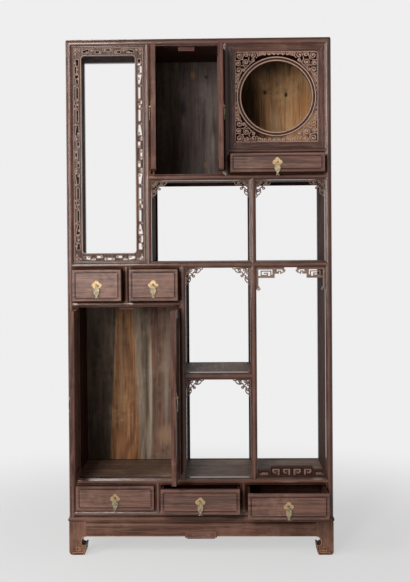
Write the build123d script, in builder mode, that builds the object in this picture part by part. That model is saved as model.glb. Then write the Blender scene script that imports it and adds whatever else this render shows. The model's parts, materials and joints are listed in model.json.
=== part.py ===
from build123d import *
from collections import namedtuple
from math import cos, radians, sin
import os

# A Chinese display and book cabinet: a moulded hardwood face frame on a low stand, with open bays,
# a moon-window box, two cupboards with pivoting doors, six drawers and hanging brass pulls.
# Millimetres. +Z is up, +X is to the viewer's right, -Y is the front, and z = 0 is the floor.
# The doors stand open and the drawers are part-way out, which is the rest pose.

os.makedirs("parts", exist_ok=True)

# ---------------------------------------------------------------- overall size
WIDTH = 1000.0  # across the corner posts
DEPTH = 350.0  # crown of the face frame to the back
HEIGHT = 1950.0  # floor to top

# ---------------------------------------------------------------- frame members
POST = 26.0  # corner posts and top frame, and the depth of every frame member
UPRIGHT = 24.0  # dividing uprights, across the face
DRAWER_UPRIGHT = 23.0  # short uprights between drawers
RAIL = 24.0  # cross rails, height of the face
SLIM_RAIL = 19.0  # rail under the moon window
DRAWER_RAIL = 23.0  # rail under the small drawers, and the bottom rail
FLOOR_RAIL = 27.0  # rails at the cupboard floor and the middle shelf
CROWN = 3.5  # height of the rounded face above its edge beads
EDGE_BEAD = 2.5  # flat bead left along each edge of a rounded face
MITRE_REACH = 9.0  # how far a pointed shoulder runs into the next member
MITRE_DEPTH = 8.0  # thickness of the pointed shoulder; the bars butt behind it
JOINT_GAP = 0.1  # glue line between bars of one frame

# ---------------------------------------------------------------- clear bays
DISPLAY_W = 271.0  # tall display bay, top left
SMALL_CUPBOARD_W = 271.0  # small cupboard beside it
CUPBOARD_W = 398.0  # large cupboard, below
CENTRE_W = 243.0  # centre niches
BOTTOM_DRAWER_BAY = 97.5  # heights from here on
CUPBOARD_H = 647.0
SMALL_DRAWER_BAY = 123.0
LOWER_NICHE_H = 371.0
UPPER_BAY_H = 482.5  # small cupboard, measured down from the top rail
SHALLOW_DRAWER_BAY = 75.5

# ---------------------------------------------------------------- boards
BOARD_T = 12.0  # shelves and partitions
SIDE_PANEL_T = 12.0
TOP_PANEL_T = 20.0
BACK_BOARD_T = 8.0
BACK_BOARD_SET = 8.0  # back boards in from the rear face
PLANK_GAP = 0.4
PLANK_W = 105.0  # wanted width of a back plank
GUIDE_H = 18.0  # strips that keep a drawer straight
STOP_W = 62.0  # wooden door stops
STOP_LAP = 5.0  # how far a stop hangs behind the closed leaves
STOP_GAP = 0.4  # behind them

# ---------------------------------------------------------------- stand
STAND_H = 147.0  # floor to the underside of the bottom rail
MOULD_H = 20.0  # stand moulding
MOULD_W = 46.0
MOULD_PROUD = 3.0  # moulding beyond the posts
LEG_W = 48.0  # leg below the apron
SHOULDER_R = 19.0  # curve from leg to apron
APRON_H = 55.0
APRON_T = 18.0
APRON_BEAD = 6.0  # bead along the apron's lower edge
BEAD_PROUD = 2.0
FOOT_FLARE = 17.0  # scrolled toe beyond the leg's inner side
FOOT_H = 44.0
FOOT_TAPER = 8.0  # heel in from the outer side at the floor
TOE_FACET = 3.0  # small steps of the toe's curl
PLAQUE_W = 120.0
PLAQUE_H = 29.0
PLAQUE_T = 6.0
PLAQUE_DROP = 7.0  # plaque below the apron's edge

# ---------------------------------------------------------------- display fret and moon window
FRET_W = 34.0  # width of each pierced bar
FRET_T = 10.0
FRET_SET = 6.0  # openwork behind the crown of the face frame
FRET_PITCH = 80.0  # wanted spacing of the piercings
FRET_HOLE_L = 60.0
FRET_HOLE_W = 12.0
MOON_BAR = 23.0  # frame around the carved field
MOON_T = 14.0
MOON_EASE = 1.2  # bevel inside the frame
MOON_MARGIN = 6.0  # from the ring to the nearer sides of its frame
RING_BAND = 14.5  # width of the ring
RING_T = 17.0
RING_SET = 2.5
RING_JOINT = 0.05  # degrees between the ring's segments
CARVING_T = 8.0
CARVING_FIT = 0.3  # slack between carved field, frame and ring
CLOUD_BAND = 4.0  # width of a carved scroll
CLOUD_HOLES = [(28, 29, 17), (68, 21, 12), (21, 72, 12), (50, 50, 7)]  # in from the corner, radius
CLOUD_TURN = 280.0  # degrees each carved scroll winds through
SCROLL_SHRINK = 0.55  # how much a scroll's radius falls along it

# ---------------------------------------------------------------- corner brackets and gallery
BRACKET_T = 10.0
BRACKET_SET = 8.0
SCROLL_REACH = 66.0  # scroll bracket along rail and upright
SCROLL_BAND = 5.0
SCROLL_ARM = 57.0  # where its arms begin to taper off
SCROLL_EYES = [(15.2, 15.2, 13.2, 135, 280), (39.6, 12.5, 11.9, 90, -280), (12.5, 39.6, 11.9, 180, 280)]
KEY_REACH = 110.0  # key-fret bracket along the rail
KEY_DROP = 87.0
KEY_BAND = 12.0
KEY_STEP = 18.0  # depth of its outer step
KEY_BLOCK_W = 66.0
KEY_BLOCK_H = 44.0
KEY_OPEN_W = 46.0  # opening in the block
KEY_OPEN_H = 20.0
KEY_OPEN_DOWN = 25.0  # its middle below the rail
KEY_BAR = 7.0  # meander inside it
KEY_TONGUE = 26.0
GALLERY_H = 45.0
GALLERY_BASE = 8.0
GALLERY_CENTRE_W = 150.0
GALLERY_KEYS = 4  # openings in its centre
GALLERY_WING_H = 28.0
GALLERY_EYE_W = 15.0
GALLERY_EYE_H = 12.0
GALLERY_STEM = 6.0

# ---------------------------------------------------------------- drawers
DRAWER_L = 290.0
DRAWER_GAP = 2.5  # around the drawer front
DRAWER_SET = 1.0  # closed front behind the crown of the frame
RUN_GAP = 0.3  # under a drawer box
FACE_T = 18.0
FACE_ROUND = 2.0
DRAWER_SIDE_T = 9.0
DRAWER_BOTTOM_T = 6.0
BOTTOM_UP = 0.3  # bottom board above the sides' lower edges
BOX_DROP = 5.0  # box sides below the top of the front
INLAY_IN = 11.0  # incised line in from the front's edge
INLAY_W = 2.0
INLAY_DEPTH = 1.2
SMALL_LEFT_OUT = 60.0  # how far each drawer stands out at rest
SMALL_RIGHT_OUT = 54.0
SHALLOW_OUT = 40.0
BOTTOM_LEFT_OUT = 10.0
BOTTOM_MIDDLE_OUT = 66.0
BOTTOM_RIGHT_OUT = 134.0

# ---------------------------------------------------------------- doors
LEAF_T = 17.5
LEAF_SET = 1.0  # closed leaf behind the crown of the frame
HINGE_GAP = 1.5
MEETING_GAP = 2.0
FOOT_GAP = 11.0  # leaf above its sill
SMALL_HEAD_GAP = 12.0
LARGE_HEAD_GAP = 4.0
STILE_W = 34.0
LEAF_PANEL_T = 8.0
GROOVE = 6.0
GROOVE_SLACK = 0.3
PIVOT_R = 4.5
PIVOT_DEPTH = 8.0  # depth of the pivot sockets
PIVOT_CLEAR = 0.3
PIVOT_END_GAP = 1.0
PIVOT_ROOT = 4.0  # pivot let into the leaf
PIVOT_SIDES = 12
HINGE_EASE = LEAF_T * (1 - 0.5**0.5)  # so that the hinge edge turns inside a circle
UPPER_LEFT_OPEN = 86.0  # degrees open at rest
UPPER_RIGHT_OPEN = 92.5
LOWER_LEFT_OPEN = 87.5
LOWER_RIGHT_OPEN = 88.5

# ---------------------------------------------------------------- brass pulls
PLATE_TIP = 20.0  # plate's centre to its corner lobes
PLATE_WAIST = 12.8  # its centre to its sides
PLATE_BLUNT = 8.0  # half the angle of a blunt corner
PLATE_T = 1.5
PIN_OUT = 5.0  # pin in front of the face
PIN_R = 1.2
PIN_SIDES = 8
EAR_T = 1.4
EAR_WALL = 0.8  # ear around the pin
BARREL_R = 2.7
BARREL_W = 5.4
PIN_CLEAR = 0.25
PENDANT_T = 2.0
# half widths down the hanging fish, and how far below the pin
FISH_NECK = [(BARREL_W / 2, 0), (BARREL_W / 2, 4)]
FISH = FISH_NECK + [(8, 9), (11, 16), (11, 24), (7.5, 33), (2.2, 41), (7.5, 50)]
TAIL_NOTCH = 45.0
DOOR_PULL_IN = 22.0  # door pull in from the meeting edge

# ---------------------------------------------------------------- places worked out from these
Door = namedtuple("Door", "name side x_post open_deg width z0 z1 sill head")
Drawer = namedtuple("Drawer", "name x0 x1 z0 z1 out")
Bar = namedtuple("Bar", "x0 x1 z0 z1 run")

half_w = WIDTH / 2
left_in = -half_w + POST
right_in = half_w - POST

base_z0 = STAND_H
base_z1 = base_z0 + DRAWER_RAIL
floor_z0 = base_z1 + BOTTOM_DRAWER_BAY
floor_z1 = floor_z0 + FLOOR_RAIL
sill_z0 = floor_z1 + CUPBOARD_H
sill_z1 = sill_z0 + DRAWER_RAIL
waist_z0 = sill_z1 + SMALL_DRAWER_BAY
waist_z1 = waist_z0 + RAIL
niche_z0 = floor_z1 + LOWER_NICHE_H
niche_z1 = niche_z0 + FLOOR_RAIL
top_z0 = HEIGHT - POST
shelf_z1 = top_z0 - UPPER_BAY_H
shelf_z0 = shelf_z1 - RAIL
moon_z0 = shelf_z1 + SHALLOW_DRAWER_BAY
moon_z1 = moon_z0 + SLIM_RAIL

display_x0 = left_in + DISPLAY_W  # upright right of the display bay
display_x1 = display_x0 + UPRIGHT
moon_x0 = display_x1 + SMALL_CUPBOARD_W
moon_x1 = moon_x0 + UPRIGHT
cupboard_x0 = left_in + CUPBOARD_W
cupboard_x1 = cupboard_x0 + UPRIGHT
right_x0 = cupboard_x1 + CENTRE_W
right_x1 = right_x0 + UPRIGHT
small_split = (left_in + cupboard_x0) / 2
third = (right_in - left_in - 2 * DRAWER_UPRIGHT) / 3
split_x0 = left_in + third
split_x1 = split_x0 + DRAWER_UPRIGHT
split_x2 = split_x1 + third
split_x3 = split_x2 + DRAWER_UPRIGHT

# The row's origin is under the middle of everything, open doors included.
pivot_in = LEAF_SET + LEAF_T / 2  # pivots behind the crown
pivot_side = HINGE_GAP + LEAF_T / 2  # pivots beside the upright
large_leaf = (CUPBOARD_W - 2 * HINGE_GAP - MEETING_GAP) / 2
small_leaf = (SMALL_CUPBOARD_W - 2 * HINGE_GAP - MEETING_GAP) / 2


def leaf_reach(width, open_deg):
    """How far an open leaf's free edge stands in front of its pivot."""
    turn = radians(open_deg)
    return (width - LEAF_T / 2) * sin(turn) + LEAF_T / 2 * abs(cos(turn))


reach = max(leaf_reach(large_leaf, LOWER_LEFT_OPEN), leaf_reach(large_leaf, LOWER_RIGHT_OPEN))
FRONT = (reach - pivot_in - DEPTH - MOULD_PROUD) / 2
BACK = FRONT + DEPTH
inner_y0 = FRONT + POST
inner_y1 = BACK - POST

FACE = Plane(origin=(0, FRONT, 0), x_dir=(1, 0, 0), z_dir=(0, -1, 0))  # sketches in x and z

UPRIGHTS = [
    Bar(display_x0, display_x1, waist_z1, top_z0, "z"),
    Bar(moon_x0, moon_x1, shelf_z1, top_z0, "z"),
    Bar(right_x0, right_x1, waist_z1, shelf_z0, "z"),
    Bar(right_x0, right_x1, floor_z1, waist_z0, "z"),
    Bar(cupboard_x0, cupboard_x1, floor_z1, waist_z0, "z"),
    Bar(small_split - DRAWER_UPRIGHT / 2, small_split + DRAWER_UPRIGHT / 2, sill_z1, waist_z0, "z"),
    Bar(split_x0, split_x1, base_z1, floor_z0, "z"),
    Bar(split_x2, split_x3, base_z1, floor_z0, "z"),
]
RAILS = [
    Bar(left_in, right_in, base_z0, base_z1, "x"),
    Bar(left_in, right_in, floor_z0, floor_z1, "x"),
    Bar(left_in, cupboard_x0, sill_z0, sill_z1, "x"),
    Bar(left_in, right_in, waist_z0, waist_z1, "x"),
    Bar(cupboard_x1, right_x0, niche_z0, niche_z1, "x"),
    Bar(display_x1, right_in, shelf_z0, shelf_z1, "x"),
    Bar(moon_x1, right_in, moon_z0, moon_z1, "x"),
]
SMALL_LEFT = Drawer("drawer_small_left", left_in, UPRIGHTS[5].x0, sill_z1, waist_z0, SMALL_LEFT_OUT)
SMALL_RIGHT = Drawer("drawer_small_right", UPRIGHTS[5].x1, cupboard_x0, sill_z1, waist_z0, SMALL_RIGHT_OUT)
SHALLOW = Drawer("drawer_shallow", moon_x1, right_in, shelf_z1, moon_z0, SHALLOW_OUT)
BOTTOM_LEFT = Drawer("drawer_bottom_left", left_in, split_x0, base_z1, floor_z0, BOTTOM_LEFT_OUT)
BOTTOM_MIDDLE = Drawer("drawer_bottom_middle", split_x1, split_x2, base_z1, floor_z0, BOTTOM_MIDDLE_OUT)
BOTTOM_RIGHT = Drawer("drawer_bottom_right", split_x3, right_in, base_z1, floor_z0, BOTTOM_RIGHT_OUT)
DRAWERS = [SMALL_LEFT, SMALL_RIGHT, SHALLOW, BOTTOM_LEFT, BOTTOM_MIDDLE, BOTTOM_RIGHT]

upper = (shelf_z1 + FOOT_GAP, top_z0 - SMALL_HEAD_GAP, shelf_z1, top_z0)
lower = (floor_z1 + FOOT_GAP, sill_z0 - LARGE_HEAD_GAP, floor_z1, sill_z0)
DOORS = [
    Door("door_upper_left", -1, display_x1, UPPER_LEFT_OPEN, small_leaf, *upper),
    Door("door_upper_right", 1, moon_x0, UPPER_RIGHT_OPEN, small_leaf, *upper),
    Door("door_lower_left", -1, left_in, LOWER_LEFT_OPEN, large_leaf, *lower),
    Door("door_lower_right", 1, cupboard_x0, LOWER_RIGHT_OPEN, large_leaf, *lower),
]


# ---------------------------------------------------------------- shared shapes
def finish(piece, name):
    """Label a finished piece and write it to its file."""
    piece.part.label = name
    export_step(piece.part, f"parts/{name}.step")


def bar_section(width, depth):
    """A frame member's section: a rounded face with a flat bead at each edge, y into the wood."""
    edge = width / 2
    with BuildSketch() as section:
        with BuildLine():
            Polyline((-edge + EDGE_BEAD, CROWN), (-edge, CROWN), (-edge, depth), (edge, depth))
            Polyline((edge, depth), (edge, CROWN), (edge - EDGE_BEAD, CROWN))
            ThreePointArc((edge - EDGE_BEAD, CROWN), (0, 0), (-edge + EDGE_BEAD, CROWN))
        make_face()
    return section.sketch


def post_section():
    """A corner post's section: rounded to both outer sides, its outer corner at the origin."""
    near = CROWN + EDGE_BEAD
    far = POST - EDGE_BEAD
    middle = (near + far) / 2
    with BuildSketch() as section:
        with BuildLine():
            Polyline((near, CROWN), (CROWN, CROWN), (CROWN, near))
            ThreePointArc((CROWN, near), (0, middle), (CROWN, far))
            Polyline((CROWN, far), (CROWN, POST), (POST, POST), (POST, CROWN), (far, CROWN))
            ThreePointArc((far, CROWN), (middle, 0), (near, CROWN))
        make_face()
    return section.sketch


def end_points(bar):
    """The two triangles by which a member's mitred face runs into its neighbours."""
    if bar.run == "z":
        middle = (bar.x0 + bar.x1) / 2
        foot = [(bar.x0, bar.z0), (bar.x1, bar.z0), (middle, bar.z0 - MITRE_REACH)]
        head = [(bar.x0, bar.z1), (bar.x1, bar.z1), (middle, bar.z1 + MITRE_REACH)]
        return [foot, head]
    middle = (bar.z0 + bar.z1) / 2
    left = [(bar.x0, bar.z0), (bar.x0, bar.z1), (bar.x0 - MITRE_REACH, middle)]
    right = [(bar.x1, bar.z0), (bar.x1, bar.z1), (bar.x1 + MITRE_REACH, middle)]
    return [left, right]


def points_into(x0, x1, z0, z1):
    """The pointed ends of other members that reach inside this face."""
    found = []
    for bar in UPRIGHTS + RAILS:
        for triangle in end_points(bar):
            tip_x, tip_z = triangle[2]
            if x0 < tip_x < x1 and z0 < tip_z < z1:
                found.append(triangle)
    return found


def pointed_member(bar):
    """A face frame member with its pointed ends, notched where others run into it."""
    with BuildPart() as member:
        if bar.run == "z":
            middle = (bar.x0 + bar.x1) / 2
            start = Plane(origin=(middle, FRONT, bar.z0 - MITRE_REACH), x_dir=(1, 0, 0), z_dir=(0, 0, 1))
            length = bar.z1 - bar.z0
            width = bar.x1 - bar.x0
        else:
            middle = (bar.z0 + bar.z1) / 2
            start = Plane(origin=(bar.x0 - MITRE_REACH, FRONT, middle), x_dir=(0, 0, -1), z_dir=(1, 0, 0))
            length = bar.x1 - bar.x0
            width = bar.z1 - bar.z0
        with BuildSketch(start):
            add(bar_section(width, POST))
        extrude(amount=length + 2 * MITRE_REACH)
        low, high = end_points(bar)
        with BuildSketch(FACE):
            Polygon(low[0], low[2], low[1], high[1], high[2], high[0], align=None)
        extrude(amount=-POST, mode=Mode.INTERSECT)
        with BuildSketch(FACE.offset(-MITRE_DEPTH)):
            Polygon(*low, align=None)
            Polygon(*high, align=None)
        extrude(amount=-POST, mode=Mode.SUBTRACT)
        notches = points_into(*bar[:4])
        if notches:
            with BuildSketch(FACE):
                for triangle in notches:
                    Polygon(*triangle, align=None)
            extrude(amount=-MITRE_DEPTH, mode=Mode.SUBTRACT)
    return member.part


def cuboid(x0, x1, y0, y1, z0, z1):
    """A plain board by its corners, to be added where a builder wants it."""
    with BuildPart() as board:
        with Locations(((x0 + x1) / 2, (y0 + y1) / 2, (z0 + z1) / 2)):
            Box(x1 - x0, y1 - y0, z1 - z0)
    return board.part


def planks(x0, x1, y0, y1, z0, z1, wanted):
    """Upright planks side by side that fill an opening, each about the wanted width."""
    count = max(1, round((x1 - x0) / wanted))
    step = (x1 - x0 + PLANK_GAP) / count
    with BuildPart() as boards:
        for i in range(count):
            add(cuboid(x0 + i * step, x0 + (i + 1) * step - PLANK_GAP, y0, y1, z0, z1))
    return boards.part


def pivots_in(door):
    """A door's pivot axis in x and y."""
    return door.x_post - door.side * pivot_side, FRONT + pivot_in


# ---------------------------------------------------------------- stand
shoulder = LEG_W + SHOULDER_R
apron_z0 = STAND_H - MOULD_H - APRON_H
apron_z1 = STAND_H - MOULD_H


def leg_outline():
    """A leg seen from the front or the side: scrolled toe, straight leg and rounded shoulder."""
    toe = LEG_W + FOOT_FLARE
    knee = apron_z0 - SHOULDER_R
    heel_rise = FOOT_H / 3
    with BuildSketch() as outline:
        with BuildLine():
            Polyline((0, heel_rise), (0, apron_z1), (shoulder, apron_z1), (shoulder, apron_z0))
            RadiusArc((shoulder, apron_z0), (LEG_W, knee), -SHOULDER_R)
            Polyline(
                (LEG_W, knee),
                (LEG_W, FOOT_H - TOE_FACET),
                (toe - FOOT_FLARE / 2, FOOT_H - 2 * TOE_FACET),
                (toe - TOE_FACET, FOOT_H),
                (toe, FOOT_H - TOE_FACET),
                (toe - TOE_FACET, heel_rise),
                (LEG_W + FOOT_TAPER, 0),
                (FOOT_TAPER, 0),
                (FOOT_TAPER / 4, heel_rise / 2),
                (0, heel_rise),
            )
        make_face()
    return outline.sketch


for side, hand in ((-1, "left"), (1, "right")):
    for end, face_y, place in ((-1, FRONT, "front"), (1, BACK, "rear")):
        with BuildPart() as leg:
            seen_front = Plane(origin=(side * half_w, face_y, 0), x_dir=(-side, 0, 0), z_dir=(0, side, 0))
            with BuildSketch(seen_front):
                add(leg_outline())
            extrude(amount=shoulder, dir=(0, -end, 0))
            seen_side = Plane(origin=(side * half_w, face_y, 0), x_dir=(0, -end, 0), z_dir=(-end, 0, 0))
            with BuildSketch(seen_side):
                add(leg_outline())
            extrude(amount=shoulder, dir=(-side, 0, 0), mode=Mode.INTERSECT)
        finish(leg, f"leg_{place}_{hand}")

with BuildPart() as stand_apron_front:
    apron_start = Plane(origin=(-half_w + shoulder, FRONT, apron_z0), x_dir=(0, 1, 0), z_dir=(1, 0, 0))
    with BuildSketch(apron_start):
        Polygon((0, 0), (APRON_T, 0), (APRON_T, APRON_H), (0, APRON_H), align=None)
        with BuildLine():
            low = (-BEAD_PROUD / 2, 0)
            high = (-BEAD_PROUD / 2, APRON_BEAD)
            Polyline(high, (0, APRON_BEAD), (0, 0), low)
            ThreePointArc(low, (-BEAD_PROUD, APRON_BEAD / 2), high)
        make_face()
    extrude(amount=WIDTH - 2 * shoulder)
finish(stand_apron_front, "stand_apron_front")

with BuildPart() as stand_aprons_rear:
    add(cuboid(-half_w + shoulder, half_w - shoulder, BACK - APRON_T, BACK, apron_z0, apron_z1))
    for side in (-1, 1):
        low_x = min(side * half_w, side * (half_w - APRON_T))
        add(cuboid(low_x, low_x + APRON_T, FRONT + shoulder, BACK - shoulder, apron_z0, apron_z1))
finish(stand_aprons_rear, "stand_aprons_rear_and_sides")

with BuildPart() as apron_plaque:
    plaque_z = apron_z0 - PLAQUE_DROP + PLAQUE_H / 2
    notch = PLAQUE_H / 4
    with BuildSketch(FACE):
        with Locations((0, plaque_z)):
            Rectangle(PLAQUE_W, PLAQUE_H)
        with Locations((-PLAQUE_W / 2, plaque_z - PLAQUE_H / 2), (PLAQUE_W / 2, plaque_z - PLAQUE_H / 2)):
            Rectangle(2 * notch, notch, mode=Mode.SUBTRACT)
    extrude(amount=PLAQUE_T)
    chamfer(apron_plaque.faces().sort_by(Axis.Y)[0].edges(), PLAQUE_T / 4)
    bead_top = apron_z0 + APRON_BEAD + CARVING_FIT
    bead_y = FRONT - BEAD_PROUD - CARVING_FIT
    add(cuboid(-PLAQUE_W, PLAQUE_W, bead_y, BACK, apron_z0 - PLAQUE_H, bead_top), mode=Mode.SUBTRACT)
finish(apron_plaque, "apron_plaque")

with BuildPart() as stand_top_frame:
    mould_z = STAND_H - MOULD_H / 2
    out_x = half_w + MOULD_PROUD
    for end, face_y in ((-1, FRONT - MOULD_PROUD), (1, BACK + MOULD_PROUD)):
        with BuildPart(mode=Mode.PRIVATE) as long_bar:
            start = Plane(origin=(-out_x, face_y, mould_z), x_dir=(0, 0, end), z_dir=(1, 0, 0))
            with BuildSketch(start):
                add(bar_section(MOULD_H, MOULD_W))
            extrude(amount=2 * out_x)
            for side in (-1, 1):
                corner = (side * (out_x - JOINT_GAP), face_y, 0)
                split(bisect_by=Plane(origin=corner, z_dir=(-side, end, 0)), keep=Keep.TOP)
        add(long_bar.part)
    for side in (-1, 1):
        with BuildPart(mode=Mode.PRIVATE) as short_bar:
            start = Plane(
                origin=(side * out_x, FRONT - MOULD_PROUD, mould_z), x_dir=(0, 0, -side), z_dir=(0, 1, 0)
            )
            with BuildSketch(start):
                add(bar_section(MOULD_H, MOULD_W))
            extrude(amount=DEPTH + 2 * MOULD_PROUD)
            for end, face_y in ((-1, FRONT - MOULD_PROUD), (1, BACK + MOULD_PROUD)):
                corner = (side * out_x, face_y - end * JOINT_GAP, 0)
                split(bisect_by=Plane(origin=corner, z_dir=(side, -end, 0)), keep=Keep.TOP)
        add(short_bar.part)
finish(stand_top_frame, "stand_top_frame")

# ---------------------------------------------------------------- corner posts and top frame
for side, hand in ((-1, "left"), (1, "right")):
    for end, face_y, place in ((-1, FRONT, "front"), (1, BACK, "rear")):
        upward = side * end
        foot = STAND_H if upward > 0 else HEIGHT
        with BuildPart() as post:
            corner = Plane(origin=(side * half_w, face_y, foot), x_dir=(-side, 0, 0), z_dir=(0, 0, upward))
            with BuildSketch(corner):
                add(post_section())
            extrude(amount=HEIGHT - STAND_H)
            crown_point = (side * half_w, face_y, HEIGHT - JOINT_GAP)
            split(bisect_by=Plane(origin=crown_point, z_dir=(-side, 0, 1)), keep=Keep.BOTTOM)
            split(bisect_by=Plane(origin=crown_point, z_dir=(0, -end, 1)), keep=Keep.BOTTOM)
            if place == "front":
                near_x = min(side * half_w, side * (half_w - POST))
                with BuildSketch(FACE):
                    for triangle in points_into(near_x, near_x + POST, STAND_H, HEIGHT):
                        Polygon(*triangle, align=None)
                extrude(amount=-MITRE_DEPTH, mode=Mode.SUBTRACT)
        finish(post, f"post_{place}_{hand}")


def top_bar_along_x(end, face_y):
    """Front or rear bar of the top frame, mitred three ways into the posts and side bars."""
    with BuildPart() as bar:
        start = Plane(origin=(-half_w, face_y, HEIGHT - POST / 2), x_dir=(0, 0, end), z_dir=(1, 0, 0))
        with BuildSketch(start):
            add(bar_section(POST, POST))
        extrude(amount=WIDTH)
        for side in (-1, 1):
            corner = (side * (half_w - JOINT_GAP), face_y, HEIGHT)
            split(bisect_by=Plane(origin=corner, z_dir=(-side, 0, 1)), keep=Keep.TOP)
            split(bisect_by=Plane(origin=corner, z_dir=(-side, end, 0)), keep=Keep.TOP)
        if end < 0:
            with BuildSketch(FACE):
                for triangle in points_into(-half_w, half_w, top_z0, HEIGHT):
                    Polygon(*triangle, align=None)
            extrude(amount=-MITRE_DEPTH, mode=Mode.SUBTRACT)
            for door in DOORS[:2]:
                x, y = pivots_in(door)
                with BuildSketch(Plane(origin=(x, y, top_z0))):
                    RegularPolygon(PIVOT_R + PIVOT_CLEAR, PIVOT_SIDES, major_radius=False)
                extrude(amount=PIVOT_DEPTH, mode=Mode.SUBTRACT)
    return bar.part


def top_bar_along_y(side):
    """Side bar of the top frame."""
    with BuildPart() as bar:
        start = Plane(
            origin=(side * half_w, FRONT, HEIGHT - POST / 2), x_dir=(0, 0, -side), z_dir=(0, 1, 0)
        )
        with BuildSketch(start):
            add(bar_section(POST, POST))
        extrude(amount=DEPTH)
        for end, face_y in ((-1, FRONT), (1, BACK)):
            corner = (side * half_w, face_y - end * JOINT_GAP, HEIGHT)
            split(bisect_by=Plane(origin=corner, z_dir=(0, -end, 1)), keep=Keep.TOP)
            split(bisect_by=Plane(origin=corner, z_dir=(side, -end, 0)), keep=Keep.TOP)
    return bar.part


with BuildPart() as top_frame:
    add(top_bar_along_x(-1, FRONT))
    add(top_bar_along_x(1, BACK))
    add(top_bar_along_y(-1))
    add(top_bar_along_y(1))
finish(top_frame, "top_frame")

with BuildPart() as top_panel:
    add(cuboid(left_in, right_in, inner_y0, inner_y1, top_z0, top_z0 + TOP_PANEL_T))
finish(top_panel, "top_panel")

# ---------------------------------------------------------------- face frame
with BuildPart() as front_uprights:
    for bar in UPRIGHTS:
        add(pointed_member(bar))
finish(front_uprights, "front_uprights")

with BuildPart() as front_rails:
    for bar in RAILS:
        add(pointed_member(bar))
    for door in DOORS:
        x, y = pivots_in(door)
        sockets = [door.sill] if door.head == top_z0 else [door.sill, door.head]
        for level in sockets:
            with BuildSketch(Plane(origin=(x, y, level))):
                RegularPolygon(PIVOT_R + PIVOT_CLEAR, PIVOT_SIDES, major_radius=False)
            extrude(amount=-PIVOT_DEPTH if level == door.sill else PIVOT_DEPTH, mode=Mode.SUBTRACT)
finish(front_rails, "front_rails")

# ---------------------------------------------------------------- rear frame, sides and boards
with BuildPart() as rear_frame:
    for bar in RAILS:
        add(cuboid(bar.x0 + JOINT_GAP, bar.x1 - JOINT_GAP, inner_y1, BACK, bar.z0, bar.z1))
    for bar in UPRIGHTS[:5]:
        add(cuboid(bar.x0, bar.x1, inner_y1, BACK, bar.z0 + JOINT_GAP, bar.z1 - JOINT_GAP))
finish(rear_frame, "rear_frame")

side_levels = [(base_z0, base_z1), (floor_z0, floor_z1), (waist_z0, waist_z1)]
side_bays = [(base_z1, floor_z0), (floor_z1, waist_z0), (waist_z1, top_z0)]

with BuildPart() as side_rails:
    for side in (-1, 1):
        for z0, z1 in side_levels:
            start = Plane(
                origin=(side * half_w, inner_y0, (z0 + z1) / 2), x_dir=(0, 0, -side), z_dir=(0, 1, 0)
            )
            with BuildSketch(start):
                add(bar_section(z1 - z0, POST))
            extrude(amount=inner_y1 - inner_y0)
finish(side_rails, "side_rails")

with BuildPart() as side_panels:
    for z0, z1 in side_bays:
        add(cuboid(left_in - SIDE_PANEL_T, left_in, inner_y0, inner_y1, z0, z1))
        add(cuboid(right_in, right_in + SIDE_PANEL_T, inner_y0, inner_y1, z0, z1))
finish(side_panels, "side_panels")


def board_span(x0, x1):
    """The faces of the partition that stands behind an upright."""
    middle = (x0 + x1) / 2
    return middle - BOARD_T / 2, middle + BOARD_T / 2


display_wall = board_span(display_x0, display_x1)
moon_wall = board_span(moon_x0, moon_x1)
cupboard_wall = board_span(cupboard_x0, cupboard_x1)
right_wall = board_span(right_x0, right_x1)

with BuildPart() as partitions:
    for wall, z0, z1 in (
        (display_wall, waist_z1, top_z0),
        (moon_wall, shelf_z1, top_z0),
        (right_wall, waist_z1, shelf_z1 - BOARD_T),
        (right_wall, floor_z1, waist_z1 - BOARD_T),
        (cupboard_wall, floor_z1, waist_z1 - BOARD_T),
    ):
        add(cuboid(wall[0], wall[1], inner_y0, inner_y1, z0, z1))
finish(partitions, "partitions")

with BuildPart() as shelf_boards:
    for x0, x1, z1 in (
        (left_in, right_in, base_z1),
        (left_in, right_in, floor_z1),
        (left_in, cupboard_wall[0], sill_z1),
        (cupboard_wall[1], right_wall[0], niche_z1),
        (left_in, right_in, waist_z1),
        (display_wall[1], right_in, shelf_z1),
        (moon_wall[1], right_in, moon_z1),
    ):
        add(cuboid(x0, x1, inner_y0, inner_y1, z1 - BOARD_T, z1))
finish(shelf_boards, "shelf_boards")

with BuildPart() as guides_and_stops:
    for x0, x1, z in (
        (UPRIGHTS[5].x0, UPRIGHTS[5].x1, sill_z1),
        (cupboard_x0, cupboard_wall[0], sill_z1),
        (moon_wall[1], moon_x1, shelf_z1),
        (split_x0, split_x1, base_z1),
        (split_x2, split_x3, base_z1),
    ):
        add(cuboid(x0, x1, inner_y0, inner_y1, z, z + GUIDE_H))
    stop_y = FRONT + LEAF_SET + LEAF_T + STOP_GAP
    for middle, z, head_gap in (
        ((display_x1 + moon_x0) / 2, top_z0, SMALL_HEAD_GAP),
        ((left_in + cupboard_x0) / 2, sill_z0, LARGE_HEAD_GAP),
    ):
        add(cuboid(middle - STOP_W / 2, middle + STOP_W / 2, stop_y, inner_y0, z - head_gap - STOP_LAP, z))
finish(guides_and_stops, "drawer_guides_and_door_stops")

with BuildPart() as back_boards:
    board_y1 = BACK - BACK_BOARD_SET
    board_y0 = board_y1 - BACK_BOARD_T
    for x0, x1, z0, z1, wanted in (
        (display_x1, moon_x0, shelf_z1, top_z0, PLANK_W),
        (moon_x1, right_in, moon_z1, top_z0, PLANK_W),
        (moon_x1, right_in, shelf_z1, moon_z0, WIDTH),
        (left_in, cupboard_x0, sill_z1, waist_z0, WIDTH),
        (left_in, cupboard_x0, floor_z1, sill_z0, PLANK_W),
        (left_in, right_in, base_z1, floor_z0, WIDTH),
    ):
        add(planks(x0, x1, board_y0, board_y1, z0, z1, wanted))
finish(back_boards, "back_boards")

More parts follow.
